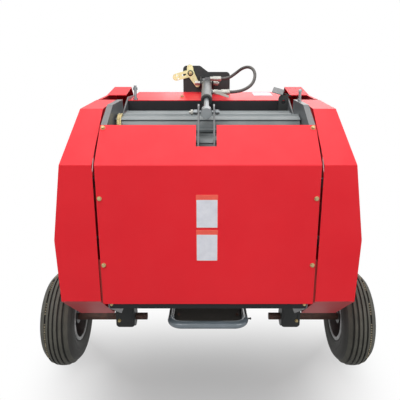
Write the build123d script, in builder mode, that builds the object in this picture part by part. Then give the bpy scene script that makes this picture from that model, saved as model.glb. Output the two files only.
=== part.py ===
from build123d import *
import math
import os

os.makedirs("parts", exist_ok=True)

# Small round baler with a chamber of fixed ribbed rollers. Millimetres, +X to the right seen
# from behind, +Y forward (the way it is towed), +Z up, ground at Z = 0.
# Lengths along the machine are measured from the tailgate's rear face, then placed by y_at().

# Overall
machine_length = 1400.0
rear_y = -machine_length / 2

# Bale chamber
chamber_width = 700.0
frame_plate_t = 6.0
tail_plate_gap = 2.0
tail_plate_t = 5.0
chamber_y = 372.0
chamber_z = 880.0
roller_circle_r = 310.0
roller_r = 38.0
rib_h = 8.0
rib_w = 10.0
rib_count = 6
roller_wall = 4.0
roller_end_gap = 5.0
spider_t = 8.0
shaft_r = 15.0
hinge_angle = 79.2
hinge_pin_r = 20.0

# Parting between the front half and the tailgate
parting_y = 450.0
parting_gap = 10.0

# Tailgate
sheet_t = 3.0
panel_bottom_z = 565.0
cover_bottom_z = 575.0
tail_low_beam_z = 557.0
fold_z = 1075.0
panel_top_y = 122.0
panel_top_z = 1197.0
roof_y = 207.0
roof_z = 1255.0
under_y = 193.0
under_z = 420.0
notch_w = 72.0
notch_y = 55.0
bend_r = 5.0
roof_rise = 26.0
plate_roof_y = 245.0
plate_roof_z = 1262.0
plate_roof_rise = 14.0
flange_w = 22.0
flange_t = 4.0

# Side covers
cover_gap = 8.0
swing_clearance = 7.0
flap_y = 626.0
flap_z = 1290.0
flap_front_y = 785.0
flap_front_z = 1327.0
cover_roof_w = 91.0
crease_w = 156.0
crease_z = 810.0
cover_low_w = 147.0

# Tailgate cylinder, seen from the side as (distance from the rear face, height)
cyl_x = -6.0
rod_pin_y = 178.0
rod_pin_z = 1238.0
base_pin_y = 790.0
base_pin_z = 1345.0
barrel_r = 23.0
barrel_wall = 5.5
rod_r = 10.0
gland_from_rod_pin = 215.0
eye_r = 20.0
ear_gap = 50.0
ear_t = 6.0
bolt_r = 6.0
base_pin_r = 10.0
fit_gap = 0.1

# Wheels
axle_from_rear = 503.0
tyre_r = 228.0
tyre_w = 146.0
tread_half_w = 47.0
bulge_share = 0.45
hub_r = 34.0
rim_r = 108.0
wheel_from_panel = 310.0
axle_r = 17.0
axle_inner_from_plate = 50.0

# Frame beams, as (distance from the rear face, height)
top_beam_y = 540.0
top_beam_top_z = 1268.0
top_beam_h = 46.0
low_beam_y = 520.0
low_beam_z = 413.0
low_beam_h = 50.0
mast_beam_y = 880.0
mast_beam_z = 1265.0
mast_beam_h = 60.0
mast_plate_t = 8.0
lug_t = 8.0
top_link_gap = 56.0
top_link_y = 965.0
top_link_z = 1340.0
top_link_r = 9.65
base_eye_w = 42.0
gland_l = 30.0
bolt_half_l = 48.0
float_l = 13.0
float_h = 2.0
sleeve_l = 38.0
mast_top_z = 1430.0
lever_x = -88.0
lever_below_top = 36.0
bracket_w = 90.0
cheek_t = 10.0
bracket_top_z = 410.0

# Bale ramp
ramp_w = 335.0
ramp_pipe_r = 16.0
ramp_rear_y = 150.0
ramp_rear_z = 391.0
ramp_front_z = 368.0
ramp_bend_r = 45.0

# Hitch, parking legs and drive
hitch_y = 1025.0
hitch_z = 560.0
hitch_h = 80.0
hitch_overhang = 50.0
link_pin_y = 1370.0
link_pin_z = 480.0
link_pin_r = 11.0
link_pin_l = 85.0
leg_inset = 50.0
leg_y = 1095.0
leg_w = 44.0
leg_play = 0.3
sleeve_w = 60.0
leg_top_z = 660.0
gearbox_y = 1015.0
gearbox_z = 730.0
input_r = 17.5
input_seat_r = 22.0
stub_start_y = 1130.0
input_end_y = 1250.0
cross_shaft_y = 958.0
bearing_cap_t = 8.0

# Pickup
pickup_overhang = 64.0
reel_y = 865.0
reel_z = 335.0
reel_shaft_r = 15.0
tine_bar_r = 78.0
tine_tip_r = 160.0
tine_bars = 4
tine_t = 6.0
band_count = 11
band_w = 44.0
band_r = 128.0

# Twine box
twine_y = 1038.0
twine_z = 1060.0
twine_l = 190.0
twine_h = 240.0


def y_at(from_rear):
    return rear_y + from_rear


def yz(points):
    return [(y_at(y), z) for y, z in points]


def export_piece(part, label):
    part.label = label
    export_step(part, f"parts/{label}.step")


def export_pair(part, label):
    export_piece(part, label + "_right")
    export_piece(mirror(part, about=Plane.YZ), label + "_left")


frame_inner_x = chamber_width / 2
frame_outer_x = frame_inner_x + frame_plate_t
tail_inner_x = frame_outer_x + tail_plate_gap
tail_outer_x = tail_inner_x + tail_plate_t
panel_half_w = tail_inner_x + flange_w
cover_inner_x = panel_half_w + cover_gap
cover_roof_x = panel_half_w + cover_roof_w
crease_x = panel_half_w + crease_w
cover_low_x = panel_half_w + cover_low_w
wheel_x = panel_half_w + wheel_from_panel
axle_inner_x = frame_inner_x - axle_inner_from_plate
hitch_half_w = frame_inner_x + hitch_overhang
leg_x = frame_inner_x - leg_inset
pickup_plate_x = frame_outer_x + pickup_overhang
band_pitch = chamber_width / (band_count - 1)
hinge_y = chamber_y + roller_circle_r * math.cos(math.radians(hinge_angle))
hinge_z = chamber_z + roller_circle_r * math.sin(math.radians(hinge_angle))
axle_y = y_at(axle_from_rear)


# Chamber side plates of the front half
frame_plate_outline = [
    (parting_y + parting_gap, 400), (parting_y + parting_gap, 1120), (hinge_y - 40, hinge_z - 20),
    (hinge_y - 30, hinge_z + 34), (top_beam_y, top_beam_top_z + 16), (925, mast_beam_z + mast_beam_h / 2),
    (985, 1180), (985, 520), (690, 520), (640, 400),
]
with BuildPart() as frame_plate:
    with BuildSketch(Plane.YZ.offset(frame_inner_x)):
        with BuildLine():
            Polyline(*yz(frame_plate_outline), close=True)
        make_face()
        with Locations((y_at(hinge_y), hinge_z)):
            Circle(45)
            Circle(hinge_pin_r, mode=Mode.SUBTRACT)
    extrude(amount=frame_plate_t)
    # outward arms that carry the front side cover
    for arm_y, arm_z in ((640, 900), (900, 900), (640, 560)):
        with Locations((frame_outer_x + 40, y_at(arm_y), arm_z)):
            Box(80, 30, 30)
export_pair(frame_plate.part, "chamber_plate")


def ribbed_roller(from_rear, height, half_length, pin_r, pin_half_length, phase):
    with BuildPart() as roller:
        with BuildSketch(Plane.YZ.offset(-half_length + roller_end_gap)):
            with Locations((y_at(from_rear), height)):
                Circle(roller_r)
                with PolarLocations(roller_r, rib_count, start_angle=phase):
                    Rectangle(2 * rib_h, rib_w)
                Circle(roller_r - roller_wall, mode=Mode.SUBTRACT)
        extrude(amount=2 * (half_length - roller_end_gap))
        # a spider at each end holds the tube on its through shaft
        for end_x in (-half_length + roller_end_gap, half_length - roller_end_gap - spider_t):
            with BuildSketch(Plane.YZ.offset(end_x)):
                with Locations((y_at(from_rear), height)):
                    Circle(pin_r + 8)
                    with PolarLocations(0, 3, start_angle=phase):
                        Rectangle(2 * roller_r - 4, 10)
            extrude(amount=spider_t)
        with BuildSketch(Plane.YZ.offset(-pin_half_length)):
            with Locations((y_at(from_rear), height)):
                Circle(pin_r)
        extrude(amount=2 * pin_half_length)
    return roller.part


def roller_place(angle):
    a = math.radians(angle)
    return chamber_y + roller_circle_r * math.cos(a), chamber_z + roller_circle_r * math.sin(a)


hinge_roller = ribbed_roller(hinge_y, hinge_z, frame_inner_x, hinge_pin_r, tail_outer_x + 8, 10)
export_piece(hinge_roller, "hinge_roller")

front_roller_angles = [53.5, 27.8, 2.1, 336.4, 292.0]
tail_roller_angles = [104.9, 130.6, 156.3, 182.0, 207.7, 233.4, 259.1]
front_rollers = Compound(children=[
    ribbed_roller(*roller_place(a), frame_inner_x, shaft_r, frame_inner_x, 7 * i)
    for i, a in enumerate(front_roller_angles)
])
export_piece(front_rollers, "front_rollers")
tail_rollers = Compound(children=[
    ribbed_roller(*roller_place(a), tail_inner_x, shaft_r, tail_inner_x, 20 + 11 * i)
    for i, a in enumerate(tail_roller_angles)
])
export_piece(tail_rollers, "tailgate_rollers")


# Tailgate panel, a folded sheet with a notch for the cylinder ears
def panel_sheet(half_w):
    with BuildPart() as sheet:
        with BuildSketch(Plane.YZ.offset(-half_w)) as section:
            slope = math.atan2(panel_top_z - fold_z, panel_top_y)
            turn = sheet_t * math.tan((math.pi / 2 - slope) / 2)
            off_y = sheet_t * math.sin(slope)
            off_z = sheet_t * math.cos(slope)
            with BuildLine():
                Polyline(
                    *yz([
                        (0, panel_bottom_z), (0, fold_z), (panel_top_y, panel_top_z),
                        (panel_top_y + off_y, panel_top_z - off_z), (sheet_t, fold_z - turn),
                        (sheet_t, panel_bottom_z),
                    ]),
                    close=True,
                )
            make_face()
            # outer and inner radius of the bend
            fillet(section.vertices().sort_by_distance((y_at(0), fold_z))[0], bend_r + sheet_t)
            fillet(section.vertices().sort_by_distance((y_at(sheet_t), fold_z - turn))[0], bend_r)
        extrude(amount=2 * half_w)
    return sheet.part


with BuildPart() as tail_panel:
    add(panel_sheet(panel_half_w))
    with Locations((cyl_x, y_at(notch_y + 100), panel_top_z)):
        Box(notch_w, 200, 200, mode=Mode.SUBTRACT)
export_piece(tail_panel.part, "tailgate_panel")

# Tailgate side plates with the outward flange that the panel is bolted to
tail_slope = (panel_top_z - fold_z) / panel_top_y
plate_roof_slope = plate_roof_rise / (hinge_y + 8 - plate_roof_y)
tail_outline = [
    (sheet_t, panel_bottom_z), (sheet_t, fold_z - sheet_t / 2), (panel_top_y, panel_top_z - sheet_t),
    (plate_roof_y, plate_roof_z), (hinge_y + 8, plate_roof_z + plate_roof_rise), (parting_y, hinge_z),
    (parting_y, under_z), (under_y, under_z), (sheet_t + 4, panel_bottom_z - 20),
]
with BuildPart() as tail_plate:
    with BuildSketch(Plane.YZ.offset(tail_inner_x)):
        with BuildLine():
            Polyline(*yz(tail_outline), close=True)
        make_face()
        with Locations((y_at(hinge_y), hinge_z)):
            Circle(hinge_pin_r + fit_gap, mode=Mode.SUBTRACT)
    extrude(amount=tail_plate_t)
    with BuildSketch(Plane.YZ.offset(tail_inner_x)) as rim_band:
        with BuildLine():
            Polyline(*yz(tail_outline), close=True)
        make_face()
        offset(amount=-flange_t, kind=Kind.INTERSECTION, mode=Mode.SUBTRACT)
        with Locations((y_at(parting_y), 800)):
            Rectangle(30, 1200, mode=Mode.SUBTRACT)
        with Locations((y_at(300), 480)):
            Rectangle(700, 180, mode=Mode.SUBTRACT)
    extrude(amount=flange_w)
    add(panel_sheet(panel_half_w + 5), mode=Mode.SUBTRACT)
    # angled arms that carry the side cover, set back from the gap beside the panel
    for arm_z in (640, 780, 1000):
        with Locations((tail_outer_x + 40, y_at(75), arm_z)):
            Box(80, 30, 30)
        with Locations((tail_outer_x + 68, y_at((60 + sheet_t) / 2), arm_z)):
            Box(24, 60 - sheet_t, 30)
export_pair(tail_plate.part, "tailgate_plate")

# Hex head bolts along both edges of the panel, two pairs on its upright part and one on its slope
bolt_x = panel_half_w - 11
bolt_head_h = 8.0
with BuildPart() as panel_bolts:
    with BuildSketch(Plane.XZ.offset(-rear_y)):
        with Locations(*[(side * bolt_x, z) for side in (-1, 1) for z in (960, 717)]):
            RegularPolygon(7.5, 6)
    extrude(amount=bolt_head_h)
    slope_bolt = (panel_top_y - 10, panel_top_z - 10 * tail_slope)
    slope_plane = Plane(origin=(0, y_at(slope_bolt[0]), slope_bolt[1]), x_dir=(1, 0, 0),
                        z_dir=(0, fold_z - panel_top_z, panel_top_y))
    with BuildSketch(slope_plane):
        with Locations((-bolt_x, 0), (bolt_x, 0)):
            RegularPolygon(7.5, 6)
    extrude(amount=bolt_head_h)
export_piece(panel_bolts.part, "panel_bolts")

# Tailgate crossbeams
with BuildPart() as tail_top_beam:
    with Locations((0, y_at(87), 1094)):
        Box(2 * tail_inner_x, 50, 48)
        Box(2 * tail_inner_x, 42, 40, mode=Mode.SUBTRACT)
export_piece(tail_top_beam.part, "tailgate_top_beam")
with BuildPart() as tail_bottom_beam:
    with Locations((0, y_at(32), tail_low_beam_z)):
        Box(2 * tail_inner_x, 50, 28)
        Box(2 * tail_inner_x, 42, 20, mode=Mode.SUBTRACT)
export_piece(tail_bottom_beam.part, "tailgate_bottom_beam")


# Side covers: pressed boxes, outer wall creased at half height
def cover_block(inset, inner_x, side_profile, spare=120):
    with BuildPart() as block:
        with BuildSketch(Plane.XZ.offset(-rear_y)):
            with BuildLine():
                Polyline(
                    (inner_x, under_z - spare), (inner_x, roof_z + spare),
                    (cover_roof_x - spare * (crease_x - cover_roof_x) / (roof_z - crease_z) - inset,
                     roof_z + spare),
                    (crease_x - inset, crease_z), (cover_low_x - inset, under_z),
                    (cover_low_x - inset, under_z - spare),
                    close=True,
                )
            make_face()
        extrude(amount=-machine_length)
        with BuildSketch(Plane.YZ) as side:
            with BuildLine():
                Polyline(*yz(side_profile), close=True)
            make_face()
            if inset:
                offset(amount=-inset, kind=Kind.INTERSECTION)
        extrude(amount=700, mode=Mode.INTERSECT)
    return block.part


cover_roof_z = roof_z - 6
rear_cover_profile = [
    (0, cover_bottom_z), (0, fold_z), (roof_y, cover_roof_z), (parting_y, cover_roof_z + roof_rise),
    (parting_y, under_z), (under_y, under_z),
]
with BuildPart() as rear_cover:
    add(cover_block(0, cover_inner_x, rear_cover_profile))
    add(cover_block(sheet_t, cover_inner_x - 5, rear_cover_profile), mode=Mode.SUBTRACT)
    with Locations((450, y_at(parting_y), 840)):
        Box(400, 2 * sheet_t + 1, 1200, mode=Mode.SUBTRACT)
export_pair(rear_cover.part, "rear_side_cover")

front_y = parting_y + parting_gap
swing_r = math.hypot(parting_y - hinge_y, cover_roof_z + roof_rise - hinge_z) + swing_clearance
front_cover_profile = [
    (front_y, 420), (front_y, cover_roof_z + roof_rise), (flap_y, flap_z), (flap_front_y, flap_front_z),
    (905, 1240), (985, 1000), (985, 575), (700, 575), (660, 420),
]
with BuildPart() as front_cover:
    add(cover_block(0, cover_inner_x - 10, front_cover_profile))
    add(cover_block(sheet_t, cover_inner_x - 15, front_cover_profile), mode=Mode.SUBTRACT)
    with Locations((450, y_at(front_y), 840)):
        Box(400, 2 * sheet_t + 1, 1200, mode=Mode.SUBTRACT)
    # round cut-out that the tailgate's cover swings through, and the opening behind the raised flap
    with BuildSketch(Plane.YZ):
        with Locations((y_at(hinge_y), hinge_z)):
            Circle(swing_r)
    extrude(amount=700, mode=Mode.SUBTRACT)
    with Locations((cover_roof_x - 60 - 15, y_at((front_y + flap_y) / 2), flap_z)):
        Box(120, flap_y - front_y + 10, 60, mode=Mode.SUBTRACT)
export_pair(front_cover.part, "front_side_cover")


# Crossbeams between the chamber plates, and the red sheet over the front half
with BuildPart() as top_crossbeam:
    with Locations((0, y_at(top_beam_y), top_beam_top_z - top_beam_h / 2)):
        Box(chamber_width, top_beam_h, top_beam_h)
        Box(chamber_width, top_beam_h - 8, top_beam_h - 8, mode=Mode.SUBTRACT)
export_piece(top_crossbeam.part, "top_crossbeam")

with BuildPart() as lower_crossbeam:
    with Locations((0, y_at(low_beam_y), low_beam_z)):
        Box(chamber_width, low_beam_h, low_beam_h)
        Box(chamber_width, low_beam_h - 8, low_beam_h - 8, mode=Mode.SUBTRACT)
export_piece(lower_crossbeam.part, "lower_crossbeam")

with BuildPart() as front_crossbeam:
    with Locations((0, y_at(mast_beam_y), mast_beam_z)):
        Box(chamber_width, mast_beam_h, mast_beam_h)
        Box(chamber_width, mast_beam_h - 8, mast_beam_h - 8, mode=Mode.SUBTRACT)
export_piece(front_crossbeam.part, "front_crossbeam")

with BuildPart() as top_sheet:
    with BuildSketch(Plane.YZ.offset(-frame_inner_x)):
        with BuildLine():
            Polyline(
                *yz([
                    (top_beam_y - top_beam_h / 2, top_beam_top_z), (top_beam_y + top_beam_h / 2, top_beam_top_z),
                    (mast_beam_y - mast_beam_h / 2 - mast_plate_t, mast_beam_z + mast_beam_h / 2 + 4),
                    (mast_beam_y - mast_beam_h / 2 - mast_plate_t, mast_beam_z + mast_beam_h / 2 + 7),
                    (top_beam_y + top_beam_h / 2, top_beam_top_z + sheet_t),
                    (top_beam_y - top_beam_h / 2, top_beam_top_z + sheet_t),
                ]),
                close=True,
            )
        make_face()
    extrude(amount=chamber_width)
export_piece(top_sheet.part, "top_sheet")

# Mast on the front crossbeam: back plate, cylinder lugs behind, top link lugs in front
mast_back_y = mast_beam_y - mast_beam_h / 2
with BuildPart() as mast:
    with BuildSketch(Plane.XZ.offset(-y_at(mast_back_y))) as back_plate:
        with BuildLine():
            Polyline((-125, mast_beam_z - 20), (-125, mast_top_z), (-40, mast_top_z), (0, mast_top_z - 30),
                     (110, mast_top_z - 30), (110, mast_beam_z - 20), close=True)
        make_face()
        fillet(back_plate.vertices().sort_by(Axis.Y)[2:], 18)
    extrude(amount=mast_plate_t)
    for lug_x in (cyl_x - ear_gap / 2 - lug_t, cyl_x + ear_gap / 2):
        with BuildSketch(Plane.YZ.offset(lug_x)):
            with BuildLine():
                Polyline(*yz([
                    (mast_back_y - mast_plate_t, base_pin_z - 33), (mast_back_y - mast_plate_t, base_pin_z + 33),
                    (base_pin_y, base_pin_z + 24), (base_pin_y, base_pin_z - 24),
                ]), close=True)
            make_face()
            with Locations((y_at(base_pin_y), base_pin_z)):
                Circle(24)
                Circle(base_pin_r, mode=Mode.SUBTRACT)
        extrude(amount=lug_t)
    for lug_x in (-top_link_gap / 2 - lug_t, top_link_gap / 2):
        with BuildSketch(Plane.YZ.offset(lug_x)):
            with BuildLine():
                Polyline(*yz([
                    (mast_back_y + mast_beam_h, mast_beam_z - 25), (mast_back_y + mast_beam_h, mast_beam_z + 30),
                    (mast_back_y, mast_beam_z + 30), (mast_back_y, mast_top_z - 35),
                    (mast_back_y + 20, mast_top_z - 35),
                    (top_link_y, top_link_z + 26), (top_link_y, top_link_z - 26),
                ]), close=True)
            make_face()
            with Locations((y_at(top_link_y), top_link_z)):
                Circle(26)
                Circle(top_link_r, mode=Mode.SUBTRACT)
        extrude(amount=lug_t)
export_piece(mast.part, "mast")

with BuildPart() as base_pin:
    with BuildSketch(Plane.YZ.offset(cyl_x - ear_gap / 2 - lug_t - 10)):
        with Locations((y_at(base_pin_y), base_pin_z)):
            Circle(base_pin_r)
    extrude(amount=ear_gap + 2 * lug_t + 20)
    with BuildSketch(Plane.YZ.offset(cyl_x - ear_gap / 2 - lug_t - 26)):
        with Locations((y_at(base_pin_y), base_pin_z)):
            RegularPolygon(13, 6)
    extrude(amount=18)
export_piece(base_pin.part, "cylinder_base_pin")

# Tailgate cylinder
cyl_angle = math.degrees(math.atan2(base_pin_z - rod_pin_z, base_pin_y - rod_pin_y))
cyl_length = math.hypot(base_pin_z - rod_pin_z, base_pin_y - rod_pin_y)
along = Vector(0, math.cos(math.radians(cyl_angle)), math.sin(math.radians(cyl_angle)))
rod_pin = Vector(cyl_x, y_at(rod_pin_y), rod_pin_z)


def cyl_plane(distance):
    return Plane(origin=rod_pin + along * distance, x_dir=(1, 0, 0), z_dir=along)


upper_port_y = y_at(735)
upper_port_z = 1365.0
lower_port_y = y_at(560)
lower_port_z = rod_pin_z + (560 - rod_pin_y) * math.tan(math.radians(cyl_angle))
barrel_end = cyl_length - base_pin_r - 6
with BuildPart() as barrel:
    with BuildSketch(cyl_plane(gland_from_rod_pin)):
        Circle(barrel_r)
    extrude(amount=barrel_end - gland_from_rod_pin)
    with BuildSketch(cyl_plane(gland_from_rod_pin)):
        Circle(rod_r + fit_gap)
    extrude(amount=gland_l, mode=Mode.SUBTRACT)
    with BuildSketch(cyl_plane(gland_from_rod_pin + gland_l)):
        Circle(barrel_r - barrel_wall)
    extrude(amount=barrel_end - gland_from_rod_pin - gland_l - 14, mode=Mode.SUBTRACT)
    # base eye
    with BuildSketch(Plane.YZ.offset(cyl_x - base_eye_w / 2)):
        with Locations((y_at(base_pin_y), base_pin_z)):
            Circle(barrel_r)
    extrude(amount=base_eye_w)
    # port bosses: one on top near the base, one on the side near the gland
    with Locations((cyl_x + 4, upper_port_y, upper_port_z - 7)):
        Box(24, 28, 28)
    with BuildSketch(Plane.YZ.offset(cyl_x + barrel_r - 5)):
        with Locations((lower_port_y, lower_port_z)):
            Circle(12)
    extrude(amount=9)
    with BuildSketch(Plane.YZ.offset(cyl_x - base_eye_w / 2)):
        with Locations((y_at(base_pin_y), base_pin_z)):
            Circle(base_pin_r + fit_gap)
    extrude(amount=base_eye_w, mode=Mode.SUBTRACT)
export_piece(barrel.part, "cylinder_barrel")

with BuildPart() as rod:
    with BuildSketch(cyl_plane(-22)):
        Circle(eye_r)
    extrude(amount=46)
    with BuildSketch(cyl_plane(20)):
        Circle(rod_r)
    extrude(amount=gland_from_rod_pin + gland_l + 20)
    # cross bolt with a nut and washer outside each ear
    with BuildSketch(Plane.YZ.offset(cyl_x - bolt_half_l)):
        with Locations((y_at(rod_pin_y), rod_pin_z)):
            Circle(bolt_r)
    extrude(amount=2 * bolt_half_l)
    for nut_x in (-bolt_half_l + 4, ear_gap / 2 + ear_t + 1.5):
        with BuildSketch(Plane.YZ.offset(cyl_x + nut_x)):
            with Locations((y_at(rod_pin_y), rod_pin_z)):
                RegularPolygon(bolt_r * 1.75, 6)
        extrude(amount=bolt_half_l - 4 - ear_gap / 2 - ear_t - 1.5)
export_piece(rod.part, "cylinder_rod")

# Two ears on the tailgate's top beam; a float slot lets the rod eye's bolt shift as the gate swings
with BuildPart() as ears:
    for ear_x in (cyl_x - ear_gap / 2 - ear_t, cyl_x + ear_gap / 2):
        with BuildSketch(Plane.YZ.offset(ear_x)):
            with BuildLine():
                Polyline(*yz([
                    (62, 1118), (104, 1118), (160, 1190), (rod_pin_y + 34, rod_pin_z - 12),
                    (rod_pin_y + 40, rod_pin_z + 14), (rod_pin_y + 20, rod_pin_z + 28),
                    (rod_pin_y - 16, rod_pin_z + 22), (rod_pin_y - 28, rod_pin_z),
                ]), close=True)
            make_face()
            with Locations((y_at(rod_pin_y + float_l / 2), rod_pin_z + float_h / 2)):
                SlotOverall(2 * bolt_r + float_l + 2, 2 * bolt_r + float_h + 1.5, mode=Mode.SUBTRACT)
        extrude(amount=ear_t)
export_piece(ears.part, "cylinder_ears")

# Gate lock: a post on the top crossbeam, one on the right tailgate plate and the hook plate between them
post_r = 6.0
left_post_x = -320.0
right_post_x = tail_inner_x + 14
right_post_y = 380.0
right_post_z = plate_roof_z + plate_roof_slope * (right_post_y - plate_roof_y)
with BuildPart() as lock_post:
    with BuildSketch(Plane.XY.offset(top_beam_top_z + sheet_t)):
        with Locations((left_post_x, y_at(top_beam_y))):
            Circle(post_r)
    extrude(amount=62)
    with BuildSketch(Plane.XY.offset(top_beam_top_z + sheet_t)):
        with Locations((left_post_x, y_at(top_beam_y))):
            Circle(post_r + 4)
    extrude(amount=8)
    with Locations((left_post_x, y_at(top_beam_y), top_beam_top_z + sheet_t + 48)):
        Box(2 * post_r + 8, 4, 12)
export_piece(lock_post.part, "lock_post")
gate_post_seat = Plane(origin=(right_post_x, y_at(right_post_y), right_post_z), x_dir=(1, 0, 0),
                       z_dir=(0, -plate_roof_slope, 1))
with BuildPart() as gate_post:
    with BuildSketch(gate_post_seat):
        Circle(post_r + 2)
    extrude(amount=8)
    with BuildSketch(gate_post_seat):
        Circle(post_r)
    extrude(amount=38)
    with BuildSketch(gate_post_seat.offset(38)):
        Circle(post_r + 2.5)
    extrude(amount=8, taper=18)
export_piece(gate_post.part, "gate_post")
with BuildPart() as lock_hook:
    # upright plate with the hole for the lock pin
    with BuildSketch(Plane.XZ.offset(-y_at(top_beam_y - top_beam_h / 2))) as lock_plate:
        with BuildLine():
            Polyline((frame_inner_x, top_beam_top_z - 58), (frame_inner_x, top_beam_top_z + 24),
                     (frame_inner_x - 42, top_beam_top_z + 24), (frame_inner_x - 42, top_beam_top_z - 40),
                     (frame_inner_x - 26, top_beam_top_z - 58), close=True)
        make_face()
        fillet(lock_plate.vertices().sort_by_distance((frame_inner_x - 42, top_beam_top_z + 24))[0], 14)
        with Locations((frame_inner_x - 20, top_beam_top_z - 6)):
            Circle(9, mode=Mode.SUBTRACT)
    extrude(amount=5)
    with BuildSketch(Plane.XY.offset(top_beam_top_z + sheet_t)):
        with Locations((frame_inner_x - 22, y_at(top_beam_y))):
            Circle(9)
    extrude(amount=26)
    hook_plane = Plane(origin=(frame_inner_x - 22, y_at(top_beam_y), top_beam_top_z + sheet_t + 28),
                       x_dir=(1, 0, -0.36), z_dir=(0.36, 0, 1))
    with BuildSketch(hook_plane):
        with Locations((0, 0)):
            Circle(13)
        with Locations((-32, 14)):
            Circle(9)
        make_hull()
    extrude(amount=5)
    with BuildSketch(hook_plane):
        with Locations((0, 0)):
            Circle(12)
        with Locations((30, -10)):
            Circle(8)
        make_hull()
        with Locations((36, -18)):
            Circle(6, mode=Mode.SUBTRACT)
    extrude(amount=5)
    with BuildSketch(hook_plane):
        Circle(5)
    extrude(amount=14)
export_piece(lock_hook.part, "lock_hook")

# Ball valve and port fittings on the barrel, and the hose that loops between them
upper_port = Vector(24, upper_port_y, upper_port_z)
lower_port = Vector(58, lower_port_y, lower_port_z)
with BuildPart() as fittings:
    with BuildSketch(Plane.YZ.offset(cyl_x + 16)):
        with Locations((upper_port.Y, upper_port.Z)):
            RegularPolygon(11, 6)
    extrude(amount=upper_port.X - cyl_x - 16)
    with BuildSketch(Plane.YZ.offset(upper_port.X)):
        with Locations((upper_port.Y, upper_port.Z)):
            Circle(10.5)
    extrude(amount=sleeve_l)
    with BuildSketch(Plane.YZ.offset(cyl_x + barrel_r + 4)):
        with Locations((lower_port.Y, lower_port.Z)):
            Circle(9)
    extrude(amount=lower_port.X - cyl_x - barrel_r - 4)
    with BuildSketch(Plane.YZ.offset(cyl_x + barrel_r + 10)):
        with Locations((lower_port.Y, lower_port.Z)):
            RegularPolygon(12.5, 6)
    extrude(amount=18)
    # valve stem towards the rear with its flat lever
    stem_y = lower_port.Y - 12.5
    stem_x = cyl_x + barrel_r + 19
    with BuildSketch(Plane.XZ.offset(-lower_port.Y)):
        with Locations((stem_x, lower_port.Z)):
            Circle(4)
    extrude(amount=19)
    with BuildSketch(Plane.XZ.offset(-stem_y + 2)):
        with Locations((stem_x, lower_port.Z)):
            Circle(7)
        with Locations((stem_x + 52, lower_port.Z - 19)):
            Circle(5.5)
        make_hull()
    extrude(amount=3)
    with BuildSketch(Plane.YZ.offset(lower_port.X)):
        with Locations((lower_port.Y, lower_port.Z)):
            Circle(10.5)
    extrude(amount=sleeve_l)
export_piece(fittings.part, "hose_fittings")

hose_r = 7.0
hose_start = upper_port + Vector(sleeve_l, 0, 0)
hose_end = lower_port + Vector(sleeve_l, 0, 0)
hose_points = [
    hose_start, hose_start + Vector(34, 0, 0), Vector(130, y_at(728), 1388), Vector(162, y_at(712), 1413),
    Vector(192, y_at(690), 1419), Vector(214, y_at(662), 1402), Vector(216, y_at(628), 1368),
    Vector(196, y_at(594), 1332), hose_end + Vector(44, 0, 0), hose_end,
]


def corner_radii(points):
    radii = []
    for before, at, after in zip(points, points[1:], points[2:]):
        run_in = at - before
        run_out = after - at
        turn = math.radians(run_in.get_angle(run_out))
        radii.append(0.45 * min(run_in.length, run_out.length) / math.tan(turn / 2))
    return radii


hose_radii = corner_radii(hose_points)
print("hose radii", [round(r) for r in hose_radii])
with BuildPart() as hose:
    with BuildLine() as hose_path:
        FilletPolyline(*hose_points, radius=hose_radii)
    with BuildSketch(Plane(origin=hose_start, z_dir=(1, 0, 0))):
        Circle(hose_r)
    sweep()
hose_length = hose_path.wires()[0].length
print("hose length", round(hose_length), "volume ratio",
      round(hose.part.volume / (hose_length * math.pi * hose_r ** 2), 4))
export_piece(hose.part, "hose")

# Zinc plated latch lever bolted to the mast: a slotted arm, a long arm down to the barrel and a short tab
lever_z = mast_top_z - lever_below_top
lever_face_y = y_at(mast_back_y - mast_plate_t)
lever_arms = [  # end x, end z, end radius, measured from the pivot
    (-72, -20, 17), (35, -57, 12), (-2, 26, 15),
]
with BuildPart() as lever:
    with BuildSketch(Plane.XZ.offset(-lever_face_y)):
        with Locations((lever_x, lever_z)):
            Circle(20)
    extrude(amount=6)
    for end_x, end_z, end_r in lever_arms:
        with BuildSketch(Plane.XZ.offset(6 - lever_face_y)):
            with Locations((lever_x, lever_z)):
                Circle(18)
            with Locations((lever_x + end_x, lever_z + end_z)):
                Circle(end_r)
            make_hull()
        extrude(amount=5)
    # slot beside the pivot and two holes for the rods
    slot_turn = math.degrees(math.atan2(lever_arms[0][1], lever_arms[0][0]))
    with BuildSketch(Plane.XZ.offset(6 - lever_face_y)):
        with Locations(Location((lever_x - 33, lever_z - 9), slot_turn)):
            SlotOverall(22, 9)
        with Locations((lever_x - 68, lever_z - 12), (lever_x - 62, lever_z - 28)):
            Circle(4)
    extrude(amount=5, mode=Mode.SUBTRACT)
export_piece(lever.part, "latch_lever")

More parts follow.
